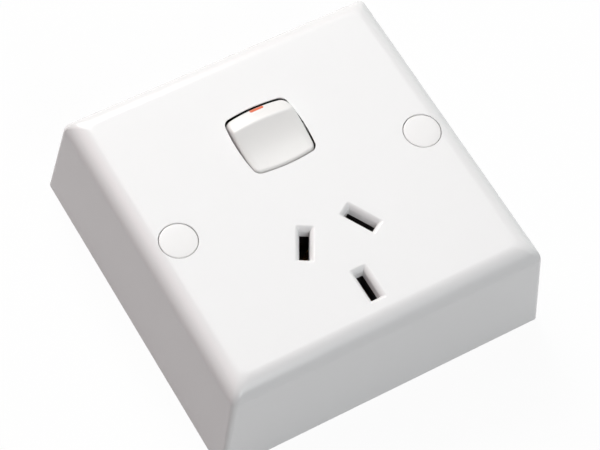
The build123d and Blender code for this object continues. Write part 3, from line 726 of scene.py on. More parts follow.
@dataclass
class Cover:
    """White moulding: flared walls, rounded front edges, blade slots, rocker opening and screw wells."""

    foot_half: float = 40.0
    top_half: float = 37.4
    height: float = 28.2
    edge_r: float = 4.7
    corner_r: float = 1.0
    corner_spread: float = -0.12
    wall: float = 2.2
    face_thick: float = 2.2
    lip_r: float = 0.15
    lip_run: float = 0.6
    proud: float = 0.02
    pins: tuple[Pin, ...] = (Pin(-6.859, -12.74, 60.0), Pin(6.859, -12.74, 120.0), Pin(0.0, -27.01, 90.0))
    slot_half: tuple[float, float] = (3.475, 1.1)
    slot_corner: float = 0.15
    slot_spread: float = 0.3
    mouth_bevel: float = 0.68
    mouth_depth: float = 0.9
    mouth_roll: float = 1.2
    mouth_proud: float = 0.03
    shroud_reach: float = 3.0
    shroud_wall: float = 1.2
    shroud_corner: float = 0.5
    shroud_round: float = 0.3
    opening: BowedSquare = BowedSquare(16.0, 15.9, 0.65, 1.8, (0.0, 13.9))
    opening_draft: float = 28.0
    opening_depth: float = 3.3
    boss_x: float = 30.0
    boss_z: float = 13.0
    boss_r: float = 5.4
    rib_half: float = 0.6
    rib_reach: float = 12.0
    rib_corner: float = 0.1
    well: tuple[tuple[float, float], ...] = ((2.05, 3.0), (2.05, 15.5), (3.75, 15.5), (3.75, 26.9))
    recess_r: float = 4.26
    arc_steps: int = 14
    corner_steps: int = 10

    @property
    def slope(self) -> float:
        """How far a wall leans in for each millimetre of height."""
        return (self.foot_half - self.top_half) / self.height

    @property
    def under_z(self) -> float:
        """Height of the face's underside."""
        return self.height - self.face_thick

    @property
    def inner_half(self) -> float:
        """Half the clear width at the foot."""
        return self.foot_half - self.wall / cos(atan(self.slope))

    def box(self, half: float, corner: float) -> RoundedBox:
        """Square plan outline whose corners soften as it shrinks."""
        return RoundedBox(half, half, corner, spread=self.corner_spread, steps=self.corner_steps)

    def outside(self) -> Solid:
        """Outer form: a leaning wall that turns into the face by an arc, carried round the square.

        Returns:
            The solid.
        """
        lean = -self.slope * self.height
        section = rounded_section(
            [
                Bend(-self.wall / 2, 0.0),
                Bend(0.0, 0.0, self.lip_r),
                Bend(lean, self.height, self.edge_r),
                Bend(lean - 2 * self.edge_r, self.height),
            ],
            steps=self.arc_steps,
        )
        return Solid.sweep(self.box(self.foot_half, self.corner_r), section)

    def inside(self) -> Solid:
        """Hollow: the same form, a wall's thickness smaller and open at the foot.

        Returns:
            The solid that is cut away.
        """
        section = rounded_section(
            [
                Bend(self.slope * CLEAR, -CLEAR),
                Bend(-self.slope * self.under_z, self.under_z, self.edge_r - self.wall),
                Bend(-2 * self.edge_r, self.under_z),
            ]
        )
        return Solid.sweep(self.box(self.inner_half, self.corner_r / 2), section)

    def blade_box(self, pin: Pin, grow: float, corner: float, spread: float = 1.0) -> RoundedBox:
        """Plan outline that stands outside a blade slot by grow."""
        half_x, half_y = self.slot_half
        return RoundedBox(half_x + grow, half_y + grow, corner, (pin.x, pin.y), pin.turn, spread)

    def shroud(self, pin: Pin) -> Solid:
        """Collar under the face round a blade slot.

        Args:
            pin: the slot's place.

        Returns:
            The solid that is joined.
        """
        low = self.height - self.shroud_reach
        section = [
            Bend(-CLEAR, low),
            Bend(0.0, low, self.shroud_round),
            Bend(0.0, self.height - self.face_thick / 2),
        ]
        outline = self.blade_box(pin, self.shroud_wall, self.shroud_corner)
        return Solid.sweep(outline, rounded_section(section))

    def mouth(self, pin: Pin) -> Solid:
        """Blade slot whose bevelled mouth runs out into the face with a soft lip.

        Args:
            pin: the slot's place.

        Returns:
            The solid that is cut away.
        """
        section = [
            Bend(0.0, self.height - self.shroud_reach - self.face_thick),
            Bend(0.0, self.height - self.mouth_depth, self.mouth_roll),
            Bend(self.mouth_bevel, self.height, self.mouth_roll),
            Bend(2 * self.mouth_bevel, self.height + self.mouth_proud),
        ]
        outline = self.blade_box(pin, 0.0, self.slot_corner, self.slot_spread)
        return Solid.sweep(outline, rounded_section(section))

    def rocker_way(self) -> Solid:
        """Rocker opening, undercut so that the rocker's ends can swing.

        Returns:
            The solid that is cut away.
        """
        undercut = self.opening_depth * np.tan(radians(self.opening_draft))
        section = [
            Bend(undercut, self.height - self.opening_depth),
            Bend(0.0, self.height, self.lip_r),
            Bend(self.lip_run, self.height + self.proud),
        ]
        return Solid.sweep(self.opening, rounded_section(section))

    def boss(self, side: int) -> list[Solid]:
        """Screw boss and its two ribs.

        Args:
            side: -1 for the left one and 1 for the right one.

        Returns:
            The solids that are joined.
        """
        x, top = side * self.boss_x, self.height - self.face_thick / 2
        rib_end = self.inner_half - self.slope * self.boss_z + self.lip_r
        reach = (rib_end - self.boss_x) / 2
        across = RoundedBox(reach, self.rib_half, self.rib_corner, (x + side * reach, 0.0))
        along = RoundedBox(self.rib_half, self.rib_reach, self.rib_corner, (x, 0.0))
        return [
            Solid.sweep(Round((x, 0.0)), np.array([(self.boss_r, self.boss_z), (self.boss_r, top)])),
            Solid.prism(across, self.boss_z, self.under_z + self.lip_r),
            Solid.prism(along, self.under_z - self.face_thick, self.under_z + self.lip_r),
        ]

    def screw_well(self, side: int) -> Solid:
        """Stepped hole for a screw, its head and its cap, with a small round lip.

        Args:
            side: -1 for the left one and 1 for the right one.

        Returns:
            The solid that is cut away.
        """
        section = [
            *(Bend(radius, height) for radius, height in self.well),
            Bend(self.recess_r, self.well[-1][1]),
            Bend(self.recess_r, self.height, self.lip_r),
            Bend(self.recess_r + self.lip_run, self.height + self.proud),
        ]
        return Solid.sweep(Round((side * self.boss_x, 0.0)), rounded_section(section))

    def build(self, workshop: Workshop) -> None:
        """Shapes the cover and puts it in place.

        Args:
            workshop: where pieces are dressed.
        """
        shaping = Shaping("cover_moulding", self.outside()).cut(self.inside())
        shaping.join(*(self.shroud(pin) for pin in self.pins))
        for side in (-1, 1):
            shaping.join(*self.boss(side))
        shaping.cut(*(self.mouth(pin) for pin in self.pins), self.rocker_way())
        shaping.cut(self.screw_well(-1), self.screw_well(1))
        workshop.fit(shaping.mesh(), "cover")


@dataclass
class Caps:
    """Round press-in caps over the cover screws, each with a hollow stem."""

    x: float = 30.0
    radius: float = 4.1
    face_z: float = 28.2
    under_z: float = 26.9
    stem_z: float = 23.9
    stem_r: float = 3.7
    stem_wall: float = 0.9
    stem_root_r: float = 0.2
    stem_end_r: float = 0.15
    edge_r: float = 0.22
    crown: float = 0.04
    axis_r: float = 0.05
    steps: int = 128

    def build(self, workshop: Workshop) -> None:
        """Turns each cap's section about its axis.

        Args:
            workshop: where pieces are dressed.
        """
        section = rounded_section(
            [
                Bend(self.axis_r, self.under_z),
                Bend(self.stem_r - self.stem_wall, self.under_z, self.stem_root_r),
                Bend(self.stem_r - self.stem_wall, self.stem_z),
                Bend(self.stem_r, self.stem_z, self.stem_end_r),
                Bend(self.stem_r, self.under_z),
                Bend(self.radius, self.under_z),
                Bend(self.radius, self.face_z - self.crown, self.edge_r),
                Bend(self.radius / 2, self.face_z - self.crown / 4),
                Bend(self.axis_r, self.face_z),
            ]
        )
        for side, word in ((-1, "left"), (1, "right")):
            solid = Solid.sweep(Round((side * self.x, 0.0), self.steps), section)
            workshop.fit(Shaping(f"cap_{word}", solid).mesh(), f"screw_cap_{word}")


@dataclass
class Rocker:
    """See-saw moulding, drawn about its pivot as it stands when on, and the mark let into it."""

    pivot: tuple[float, float, float] = (0.0, 13.9, 24.6)
    half_width: float = 7.91
    swing_r: float = 8.277
    bow: float = 0.65
    corner: float = 1.8
    face_rise: float = 3.6
    ridge_y: float = 3.6
    ridge_rise: float = 2.0
    edge_rise: float = 0.7
    dish_sag: float = 0.55
    crown_r: float = 90.0
    ridge_soft: float = 0.3
    rim_r: float = 0.35
    shoulder_x: float = 5.8
    shoulder_r: float = 5.0
    skin: float = 1.4
    skirt: float = 1.9
    half_travel: float = 7.0
    boss_r: float = 2.8
    boss_reach: float = 7.2
    boss_cap: float = 1.0
    boss_steps: int = 70
    bore_r: float = 1.6
    bore_top: float = 2.9
    rib_short: float = 0.1
    rib_corner: float = 0.1
    trunnion_r: float = 1.3
    trunnion_reach: float = 1.85
    trunnion_lead: float = 0.25
    trunnion_steps: int = 48
    mark_x: float = 0.3
    mark_half: tuple[float, float] = (1.65, 0.52)
    mark_past_edge: float = 0.25
    mark_depth: float = 0.5
    mark_corner: float = 0.4
    mark_play: float = 0.02
    steps: int = 16
    passes: int = 12
    rim_rings: int = 7
    wall_rings: int = 12
    inner_rings: int = 8
    face_rings: int = 70
    under_rings: int = 12
    middle_share: float = 0.01

    @property
    def edge_z(self) -> float:
        """Height of the strip's far edge above the pivot."""
        return self.face_rise + self.edge_rise

    @property
    def edge_y(self) -> float:
        """Distance of the strip's far edge from the pivot."""
        return sqrt(self.swing_r**2 - self.edge_z**2)

    @property
    def fall(self) -> float:
        """Slope of the strip, in radians."""
        return atan((self.ridge_rise - self.edge_rise) / (self.edge_y - self.ridge_y))

    @property
    def level(self) -> Matrix:
        """Turn from the rocker drawn level to the on position."""
        return Matrix.Rotation(radians(self.half_travel), 4, "X")

    def top(self, x: np.ndarray, y: np.ndarray) -> np.ndarray:
        """Height of the top surface above the pivot.

        The strip falls along a line from the ridge and is crowned across it by x^2 / 2R. The
        dish is an arc that sags under the chord from the ridge to the near edge. The surface
        is the lower of the two, a and b, with their crease softened by a width s:
        (a + b - sqrt((a - b)^2 + s^2)) / 2. Past the shoulder both fall by d^2 / 2r, where d
        is the distance from it.

        Args:
            x: distances across.
            y: distances along, from the pivot.

        Returns:
            The heights.
        """
        ridge_z = self.face_rise + self.ridge_rise
        strip = ridge_z - (y - self.ridge_y) * np.tan(self.fall) - x * x / (2 * self.crown_r)
        low_y = -sqrt(self.swing_r**2 - self.face_rise**2)
        run, rise = self.ridge_y - low_y, self.ridge_rise
        chord = hypot(run, rise)
        radius = chord**2 / (8 * self.dish_sag) + self.dish_sag / 2
        lift = radius - self.dish_sag
        middle_y = (self.ridge_y + low_y) / 2 - lift * rise / chord
        middle_z = self.face_rise + rise / 2 + lift * run / chord
        dish = middle_z - np.sqrt(radius**2 - (y - middle_y) ** 2)
        past = np.maximum(np.abs(x) - self.shoulder_x, 0)
        crease = np.sqrt((strip - dish) ** 2 + self.ridge_soft**2)
        return (strip + dish - crease) / 2 - past * past / (2 * self.shoulder_r)

    def outline(self, height: np.ndarray, inset: np.ndarray) -> np.ndarray:
        """Outline of the swinging body at a height, seen from above.

        The body is turned about the pivot's line. A point of its half section at the distance
        q from that line stands sqrt(q^2 - z^2) along at the height z. On the sides, where q
        would fall below z, the points are spread evenly from the pivot's line to the corner.

        Args:
            height: the height of each point above the pivot, one row for each ring.
            inset: how far each ring stands inside the body.

        Returns:
            Rings of plan points.
        """
        width, length = 2 * self.half_width, 2 * self.swing_r
        section = BowedSquare(width, length, self.bow, self.corner, steps=self.steps)
        centres, radii, angles = section.quarter()
        last = 3 * self.steps
        order = np.concatenate([np.arange(last), np.arange(last, 0, -1)] * 2)
        sign_x = np.repeat([1, -1, -1, 1], last)
        sign_y = np.repeat([1, 1, -1, -1], last)
        reach = radii[order] - inset[:, None]
        x = centres[order, 0] + reach * np.cos(angles[order])
        away = centres[order, 1] + reach * np.sin(angles[order])
        knee = centres[self.steps, 1] + (self.corner - inset[:, None]) * np.sin(angles[self.steps])
        side_y = order / self.steps * np.sqrt(np.maximum(knee**2 - height**2, 0))
        side_x = centres[0, 0] + np.sqrt(np.maximum(reach**2 - side_y**2 - height**2, 0))
        on_side = order < self.steps
        along = np.where(on_side, side_y, np.sqrt(np.maximum(away**2 - height**2, 0)))
        return np.stack([sign_x * np.where(on_side, side_x, x), sign_y * along], axis=-1)

    def settled(self, inset: np.ndarray, share: np.ndarray, drop: np.ndarray) -> np.ndarray:
        """Rings on the swinging body between its top surface and its skirt.

        Their heights depend on where they stand and the other way round, so both are worked
        out in turn until they agree.

        Args:
            inset: how far each ring stands inside the body.
            share: how far down each ring is, 0 at the top surface and 1 at the skirt.
            drop: how far each ring's top is sunk below the top surface.

        Returns:
            The rings.
        """
        tilt = radians(self.half_travel)
        height = np.full((len(inset), 4 * 3 * self.steps), self.face_rise)
        for _ in range(self.passes):
            plan = self.outline(height, inset)
            upper = self.top(plan[..., 0], plan[..., 1]) - drop[:, None]
            lower = plan[..., 1] * np.tan(tilt) - self.skirt / cos(tilt)
            height = upper + share[:, None] * (lower - upper)
        return raised(plan, height)

    def ceiling(self, edge: np.ndarray, drop: float, rings: int) -> np.ndarray:
        """Rings on the top surface or under it, drawn in from an edge ring to nearly a point.

        Args:
            edge: the edge ring.
            drop: how far the rings are sunk below the top surface.
            rings: how many there are.

        Returns:
            The rings.
        """
        share = np.linspace(1, self.middle_share, rings + 1)[1:, None, None]
        plan = edge[None, :, :2] * share
        return raised(plan, self.top(plan[..., 0], plan[..., 1]) - drop)

    def blank(self, hollow: bool) -> Solid:
        """The moulding's body: top surface, round rim and swung walls.

        The rim is a quarter circle: at the angle a it stands r (1 - cos a) in and
        r (1 - sin a) down.

        Args:
            hollow: whether the body is hollowed to its skin from below.

        Returns:
            The solid.
        """
        turn = np.linspace(pi / 2, 0, self.rim_rings)
        rim = self.settled(self.rim_r * (1 - np.cos(turn)), 0 * turn, self.rim_r * (1 - np.sin(turn)))
        down = np.linspace(0, 1, self.wall_rings)[1:]
        walls = self.settled(0 * down, down, np.full(len(down), self.rim_r))
        rings = [self.ceiling(rim[0], 0.0, self.face_rings)[::-1], rim, walls]
        if hollow:
            up = np.linspace(1, 0, self.inner_rings)
            skin = np.full(len(up), self.skin)
            inner = self.settled(skin, up, skin)
            rings += [inner, self.ceiling(inner[-1], self.skin, self.under_rings)]
        return Solid.stack(np.concatenate(rings))

    def pocket(self, play: float) -> Solid:
        """Rounded block that stands for the mark.

        Args:
            play: how much larger the block is than the mark on every side.

        Returns:
            The block, at the strip's far edge and along its slope.
        """
        centre_in = self.mark_half[1] - self.mark_past_edge
        along = self.edge_y - centre_in * cos(self.fall)
        up = self.edge_z + centre_in * sin(self.fall)
        place = Matrix.Translation((self.mark_x, along, up)) @ Matrix.Rotation(-self.fall, 4, "X")
        outline = RoundedBox(self.mark_half[0] + play, self.mark_half[1] + play, self.mark_corner)
        return Solid.prism(outline, -self.mark_depth - play, 2 * self.mark_depth).moved(place)

    def trunnion(self, side: int) -> Solid:
        """Pivot pin with a chamfered end.

        Args:
            side: -1 for the left one and 1 for the right one.

        Returns:
            The solid.
        """
        outer = self.half_width + self.trunnion_reach
        section = [
            (self.trunnion_r, self.half_width - self.skin),
            (self.trunnion_r, outer - self.trunnion_lead),
            (self.trunnion_r - self.trunnion_lead, outer),
        ]
        turn = Matrix.Rotation(side * pi / 2, 4, "Y")
        return Solid.sweep(Round(steps=self.trunnion_steps), np.array(section)).moved(turn)

    def upright(self, radius: float, low: float, high: float) -> Solid:
        """Upright cylinder on the rocker's own middle line."""
        section = np.array([(radius, low), (radius, high)])
        return Solid.sweep(Round(steps=self.boss_steps), section).moved(self.level)

    def build(self, workshop: Workshop) -> None:
        """Shapes the rocker and its mark and puts them in place.

        Args:
            workshop: where pieces are dressed.
        """
        boss = self.upright(self.boss_r, -self.boss_reach, self.bore_top + self.boss_cap)
        bore = self.upright(self.bore_r, -2 * self.boss_reach, self.bore_top)
        plan = RoundedBox(self.half_width - self.skin / 2, self.trunnion_r, self.rib_corner)
        rib = Solid.prism(plan, self.rib_short - self.skirt, self.face_rise).moved(self.level)
        shaping = Shaping("rocker_moulding", self.blank(hollow=True))
        shaping.join(boss, rib, self.trunnion(-1), self.trunnion(1))
        shaping.cut(bore, self.pocket(play=self.mark_play))
        mark = Shaping("mark_inlay", self.blank(hollow=False)).keep(self.pocket(play=0.0))
        place = Matrix.Translation(Vector(self.pivot) * MM)
        for piece, node in ((shaping, "rocker"), (mark, "on_mark")):
            mesh = piece.mesh()
            mesh.transform(place)
            workshop.fit(mesh, node)


@dataclass(frozen=True)
class Screw:
    """Slotted screw with a cut thread, pointing down from its seat."""

    seat_z: float
    shank_r: float
    length: float
    head_r: float
    head_height: float
    pitch: float
    slot_width: float = 0.8
    slot_depth: float = 0.9
    slot_corner: float = 0.05
    thread_share: float = 0.55
    thread_steep: float = 1.4
    thread_crest: float = 0.2
    lead: float = 0.5
    under_r: float = 0.1
    upper_r: float = 0.35
    taper: float = 0.05
    dome: float = 0.1
    crown: float = 0.02
    arc_steps: int = 4
    steps: int = 32

    @property
    def top_z(self) -> float:
        """Height of the head's top."""
        return self.seat_z + self.head_height

    def shank(self) -> np.ndarray:
        """Rings of the threaded shank from its tip to the seat.

        The radius falls from the crest by the thread's depth times the thread's wave, which
        is made steeper and cut flat at the crest and the root. The wave fades out at the tip
        and under the head, and the tip is drawn in to a lead.

        Returns:
            The rings.
        """
        count = ceil(RINGS_PER_PITCH * self.length / self.pitch)
        down = np.linspace(self.length, 0, count + 1)[:, None]
        angle = full_turn(self.steps)[None]
        wave = np.clip(self.thread_steep * thread_wave(down, self.pitch, angle) - self.thread_crest, 0, 1)
        fade = np.clip(np.minimum(down - self.pitch, self.length - down) / self.pitch, 0, 1)
        lead = np.clip(self.lead - (self.length - down), 0, self.lead)
        radius = self.shank_r - self.thread_share * self.pitch * wave * fade - lead
        return round_axis(radius, angle, self.seat_z - down)

    def head(self) -> np.ndarray:
        """Rings of the head: flat under, a little tapered, its upper edge rounded, slightly domed.

        Returns:
            The rings.
        """
        section = rounded_section(
            [
                Bend(self.shank_r, self.seat_z),
                Bend(self.head_r, self.seat_z, self.under_r),
                Bend(self.head_r - self.taper, self.top_z - self.dome, self.upper_r),
                Bend(self.head_r / 2, self.top_z - self.crown),
                Bend(self.taper, self.top_z),
            ],
            steps=self.arc_steps,
        )
        return raised(Round(steps=self.steps).at(section[1:, 0]), section[1:, 1:])

    def solid(self) -> Solid:
        """The whole screw before its slot is cut, on the Z axis."""
        return Solid.stack(np.concatenate([self.shank(), self.head()]))

    def slot(self) -> Solid:
        """What the slot takes out of the head."""
        outline = RoundedBox(self.head_r + CLEAR, self.slot_width / 2, self.slot_corner)
        return Solid.prism(outline, self.top_z - self.slot_depth, self.top_z + CLEAR)


@dataclass
class ScrewSet:
    """Screws of one kind: the piece's name, the CAD node, and where and how far turned each stands."""

    name: str
    node: str
    screw: Screw
    places: tuple[tuple[float, float, float], ...]

    def build(self, workshop: Workshop) -> None:
        """Cuts one screw, then sets turned copies of it in place as one mesh.

        Args:
            workshop: where pieces are dressed.
        """
        cut = Shaping(f"{self.name}_one", self.screw.solid()).cut(self.screw.slot()).mesh()
        joined = bmesh.new()
        for x, y, turn in self.places:
            copy = cut.copy()
            spin = Matrix.Rotation(radians(turn), 4, "Z")
            copy.transform(Matrix.Translation((x * MM, y * MM, 0.0)) @ spin)
            joined.from_mesh(copy)
            bpy.data.meshes.remove(copy)
        mesh = bpy.data.meshes.new(self.name)
        joined.to_mesh(mesh)
        joined.free()
        bpy.data.meshes.remove(cut)
        workshop.fit(mesh, self.node)


@dataclass
class Inserts:
    """Knurled brass inserts with a tapped bore."""

    x: float = 30.0
    top_z: float = 13.0
    length: float = 8.0
    radius: float = 2.75
    bore_r: float = 1.8
    groove_half: float = 0.8
    groove_depth: float = 0.4
    knurls: int = 24
    knurl_steps: int = 6
    knurl_depth: float = 0.12
    end_chamfer: float = 0.3
    pitch: float = 0.7
    thread_share: float = 0.3

    def insert(self, side: int) -> Solid:
        """One insert as a closed loop of rings, up the outside and down the bore.

        Outside, the radius is cut by the knurl's depth times |sin| of the angle by half the
        number of knurls. In the bore it grows by the thread's wave, which fades at both ends.

        Args:
            side: -1 for the left one and 1 for the right one.

        Returns:
            The solid.
        """
        low, middle = self.top_z - self.length, self.top_z - self.length / 2
        chamfer = self.end_chamfer
        angle = full_turn(self.knurl_steps * self.knurls)[None]
        section = np.array(
            [
                (-chamfer, low),
                (0.0, low + chamfer),
                (0.0, middle - self.groove_half),
                (-self.groove_depth, middle - self.groove_half),
                (-self.groove_depth, middle + self.groove_half),
                (0.0, middle + self.groove_half),
                (0.0, self.top_z - chamfer),
                (-chamfer, self.top_z),
            ]
        )
        plain = (section[:, 0] < 0)[:, None]
        knurl = self.knurl_depth * np.where(plain, 1, np.abs(np.sin(angle * self.knurls / 2)))
        outer_r = self.radius + section[:, :1] - knurl
        down = np.linspace(0, self.length, ceil(RINGS_PER_PITCH * self.length / self.pitch))[:, None]
        fade = np.clip(np.minimum(down, self.length - down) / self.pitch, 0, 1)
        depth = self.thread_share * self.pitch
        bore_r = self.bore_r + depth * fade * thread_wave(down, self.pitch, angle)
        radius = np.concatenate([outer_r, bore_r])
        height = np.concatenate([section[:, 1:], self.top_z - down])
        return Solid.stack(round_axis(radius, angle, height, side * self.x), loop=True)

    def build(self, workshop: Workshop) -> None:
        """Makes both inserts one mesh."""
        shaping = Shaping("brass_inserts", self.insert(-1)).join(self.insert(1))
        workshop.fit(shaping.mesh(), "pillar_inserts")


@dataclass
class Spring:
    """Coil spring in the rocker's bore, drawn about the pivot at one length."""

    wire_r: float = 0.2
    coil_r: float = 1.3
    low: float = -1.26
    high: float = 2.66
    turns: float = 4.5
    end_pace: float = 0.35
    closed_turns: float = 0.8
    eased_turns: float = 1.4
    sides: int = 12
    steps: int = 36
    joint: str = "plunger_slide"
    stroke: float = 0.6

    def rings(self) -> np.ndarray:
        """Rings of the wire along the coil.

        The wire's centre goes round a circle and climbs, more slowly in the end turns: its
        height is the running sum of its pace, scaled to the spring's length. A ring is a
        circle across the wire, spanned by the coil's radial direction and by the cross
        product of that and the tangent.

        Returns:
            The rings.
        """
        turn = np.linspace(0, self.turns, ceil(self.turns * self.steps) + 1)
        starts = np.array([self.closed_turns, self.eased_turns])
        knees = np.concatenate([starts, self.turns - starts[::-1]])
        pace = np.interp(turn, knees, [self.end_pace, 1.0, 1.0, self.end_pace])
        climb = np.concatenate([[0.0], np.cumsum(pace[1:] + pace[:-1])])
        height = self.low + (self.high - self.low) * climb / climb[-1]
        angle = 2 * pi * turn
        out = np.stack([np.cos(angle), np.sin(angle), 0 * angle], axis=-1)
        centre = self.coil_r * out + np.stack([0 * angle, 0 * angle, height], axis=-1)
        ahead = np.gradient(centre, axis=0)
        across = np.cross(ahead, out)
        across /= np.linalg.norm(across, axis=1, keepdims=True)
        side = full_turn(self.sides)[None, :, None]
        circle = np.cos(side) * out[:, None] + np.sin(side) * across[:, None]
        return centre[:, None] + self.wire_r * circle

    def build(self, workshop: Workshop, rocker: Rocker) -> None:
        """Puts the spring in the rocker's bore, with a mesh of its own.

        Args:
            workshop: where pieces are dressed.
            rocker: the rocker that holds the spring.
        """
        mesh = Shaping("spring_coil", Solid.stack(self.rings()).moved(rocker.level)).mesh()
        pivot = Vector(rocker.pivot)
        mesh.transform(Matrix.Translation(pivot * MM))
        piece = workshop.fit(mesh, "plunger_spring")
        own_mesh(piece)


@dataclass
class Insides:
    """Pieces that keep their CAD shape and get a small round on every edge."""

    rounding: float = 0.08
    fine: float = 0.04
    fine_word: str = "contact"
    segments: int = 2

    def whole_faces(self, node: bpy.types.Object, name: str) -> bpy.types.Mesh:
        """Welded copy of a CAD node's mesh, its flat triangles joined into whole faces.

        Args:
            node: the CAD node.
            name: the copy's name.

        Returns:
            The copy.
        """
        mesh = bpy.data.meshes.new(name)
        with edited(mesh, node.data) as work:
            bmesh.ops.remove_doubles(work, verts=work.verts, dist=WELD_MM * MM)
            bmesh.ops.dissolve_limit(
                work, angle_limit=FLAT_ANGLE, verts=work.verts, edges=work.edges, delimit={"NORMAL"}
            )
        return mesh

    def build(self, workshop: Workshop, names: list[str]) -> None:
        """Replaces each node by its rounded copy.

        Args:
            workshop: where pieces are dressed.
            names: the nodes.
        """
        for name in names:
            node = workshop.frame["nodes"][name]
            piece = workshop.fit(self.whole_faces(node, f"{name}_rounded"), name)
            edge = piece.modifiers.new("edges", "BEVEL")
            edge.width = (self.fine if self.fine_word in name else self.rounding) * MM
            edge.segments = self.segments
            edge.limit_method = "ANGLE"
            edge.angle_limit = BEVEL_ANGLE
            edge.use_clamp_overlap = True
            piece.modifiers.move(piece.modifiers.find("edges"), 0)


SCREW_SETS = (
    ScrewSet(
        "cover_screw_pair", "cover_screws", Screw(15.5, 1.75, 9.5, 3.4, 2.4, 0.7),
        ((-30.0, 0.0, 20.0), (30.0, 0.0, -35.0)),
    ),
    ScrewSet(
        "retainer_screw_set", "retainer_screws", Screw(23.0, 1.2, 5.7, 2.3, 1.3, 0.45, 0.6, 0.6),
        ((-8.859, -22.175, 10.0), (8.859, -22.175, 65.0), (2.3, -0.7, -25.0)),
    ),
    ScrewSet(
        "housing_screw_pair", "housing_screws", Screw(8.4, 1.5, 7.2, 2.9, 2.0, 0.5),
        ((-16.5, -23.01, 40.0), (16.5, 3.7, -15.0)),
    ),
    ScrewSet(
        "clamp_screw_set", "clamp_screws", Screw(16.4, 1.75, 5.0, 2.7, 2.2, 0.7),
        ((-16.5, 19.5, 0.0), (16.5, 19.5, 30.0), (16.5, -12.74, 75.0), (16.5, -27.01, -40.0)),
    ),
)
KEPT_NODES = ("plunger",)
ROUNDED_NODES = [
    "base", "mechanism_housing", "contact_retainer", "switched_active_contact", "neutral_contact",
    "earth_contact", "fixed_contact", "fixed_contact_tip", "contact_arm", "contact_arm_tip",
    "active_terminal", "loop_terminal", "neutral_terminal", "earth_terminal",
]


@dataclass(frozen=True)
class Lamp:
    """Square soft lamp that faces the outlet: place and side in metres, power in watts."""

    name: str
    place: Point
    side: float
    power: float
    colour: Colour

    def build(self) -> None:
        """Adds the lamp."""
        data = bpy.data.lights.new(self.name, "AREA")
        data.size = self.side
        data.energy = self.power
        data.color = self.colour
        away = Vector(self.place)
        turn = away.to_track_quat("Z", "Y").to_matrix().to_4x4()
        placed(self.name, data).matrix_world = Matrix.Translation(away) @ turn


def backdrop_rays(tree: bpy.types.NodeTree) -> bpy.types.NodeSocket:
    """1 for rays that see the backdrop as it looks: from the camera, a mirror or glass.

    Args:
        tree: where the nodes are added.

    Returns:
        The socket with the value.
    """
    path = tree.nodes.new("ShaderNodeLightPath")
    seen = path.outputs["Is Camera Ray"]
    for word in ("Is Glossy Ray", "Is Transmission Ray"):
        either = tree.nodes.new("ShaderNodeMath")
        either.operation = "MAXIMUM"
        tree.links.new(seen, either.inputs[0])
        tree.links.new(path.outputs[word], either.inputs[1])
        seen = either.outputs[0]
    return seen


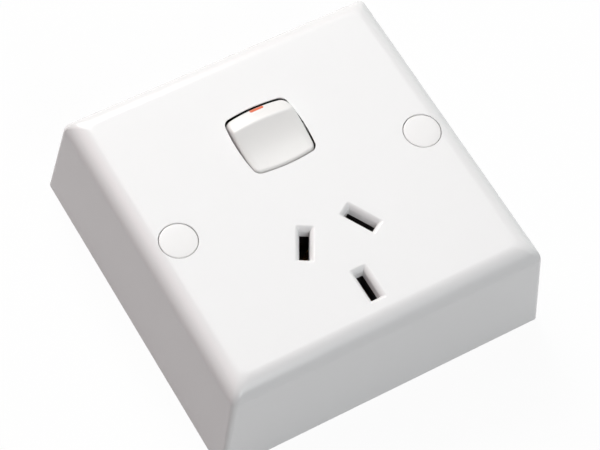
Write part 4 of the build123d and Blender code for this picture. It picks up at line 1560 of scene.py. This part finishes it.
@dataclass
class Studio:
    """Pale floor, soft lamps, world and camera."""

    target: Point = (-5.515 * MM, -8.348 * MM, 28.2 * MM)
    distance: float = 486.23 * MM
    azimuth: float = -38.70
    elevation: float = 59.23
    roll: float = 9.977
    lens_mm: float = 138.98
    floor_side: float = 6.0
    floor_colour: Colour = (0.45, 0.45, 0.45)
    floor_glow: float = 1.07
    floor_rough: float = 0.9
    shadow_share: float = 0.12
    clip: tuple[float, float] = (0.01, 100.0)
    lamps: tuple[Lamp, ...] = (
        Lamp("window", (0.0, 1.4, 1.1), 1.0, 24.1, (1.0, 0.995, 0.98)),
        Lamp("sky_panel", (0.3, 0.8, 1.3), 1.0, 7.0, (0.94, 1.0, 0.995)),
        Lamp("warm_card", (-1.0, 1.0, 1.1), 1.0, 3.5, (1.0, 0.6, 0.63)),
        Lamp("front_card", (0.0, -1.4, 1.1), 1.0, 13.3, (0.975, 0.99, 1.0)),
        Lamp("front_corner_card", (1.0, -1.0, 1.1), 1.0, 1.7, (0.92, 0.96, 1.0)),
    )

    def camera(self) -> None:
        """The photograph's viewpoint, looking at a point on the face, rolled about its line of sight."""
        data = bpy.data.cameras.new("camera")
        data.lens = self.lens_mm
        data.clip_start, data.clip_end = self.clip
        camera = placed("camera", data)
        azimuth, elevation = radians(self.azimuth), radians(self.elevation)
        back = Vector((sin(azimuth) * cos(elevation), -cos(azimuth) * cos(elevation), sin(elevation)))
        level = (-back).cross(Vector((0, 0, 1))).normalized()
        upward = level.cross(-back)
        right = level * cos(radians(self.roll)) + upward * sin(radians(self.roll))
        up = back.cross(right)
        turn = Matrix((right, up, back)).transposed().to_4x4()
        camera.matrix_world = Matrix.Translation(Vector(self.target) + back * self.distance) @ turn
        bpy.context.scene.camera = camera

    def floor(self) -> None:
        """White floor: light that bounces meets a grey sheet, the camera and mirrors a white one."""
        kit = NodeKit.start("floor_paper")
        paper = {"Base Color": (*self.floor_colour, 1.0), "Roughness": self.floor_rough}
        kit.fill(kit.shader, {**paper, "Specular IOR Level": 0.0})
        glow = kit.add("ShaderNodeEmission", {"Strength": self.floor_glow, "Color": WHITE})
        share = kit.add("ShaderNodeMath")
        share.operation = "MULTIPLY"
        share.inputs[1].default_value = 1.0 - self.shadow_share
        kit.join(backdrop_rays(kit.material.node_tree), share.inputs[0])
        mix = kit.add("ShaderNodeMixShader")
        kit.join(share.outputs[0], mix.inputs[0])
        kit.join(kit.shader.outputs[0], mix.inputs[1])
        kit.join(glow.outputs[0], mix.inputs[2])
        kit.join(mix.outputs[0], kit.material.node_tree.nodes["Material Output"].inputs["Surface"])
        half = self.floor_side / 2
        corners = [(-half, -half, 0), (half, -half, 0), (half, half, 0), (-half, half, 0)]
        mesh = bpy.data.meshes.new("floor")
        mesh.from_pydata(corners, [], [(0, 1, 2, 3)])
        mesh.materials.append(kit.material)
        floor = placed("floor", mesh)

    def world(self) -> None:
        """White beyond the floor's edge for the camera, mirrors and glass, and no other light."""
        world = bpy.data.worlds.new("room")
        world.use_nodes = True
        bpy.context.scene.world = world
        backdrop = world.node_tree.nodes["Background"]
        backdrop.inputs["Color"].default_value = WHITE
        world.node_tree.links.new(backdrop_rays(world.node_tree), backdrop.inputs["Strength"])

    def build(self) -> None:
        """Sets up everything round the outlet."""
        self.camera()
        self.floor()
        self.world()
        for lamp in self.lamps:
            lamp.build()
        bpy.context.scene.view_settings.view_transform = "Standard"


def main() -> None:
    """Builds the outlet's looks and its studio."""
    logging.basicConfig(level=logging.INFO, format="%(name)s: %(message)s")
    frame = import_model()
    workshop = Workshop(frame)
    for node in KEPT_NODES:
        workshop.dress(frame["nodes"][node], node)
        LOG.info("dressed %s", node)
    Cover().build(workshop)
    Caps().build(workshop)
    rocker = Rocker()
    rocker.build(workshop)
    Spring().build(workshop, rocker)
    for screws in SCREW_SETS:
        screws.build(workshop)
    Inserts().build(workshop)
    Insides().build(workshop, ROUNDED_NODES)
    Studio().build()


if __name__ == "__main__":
    main()
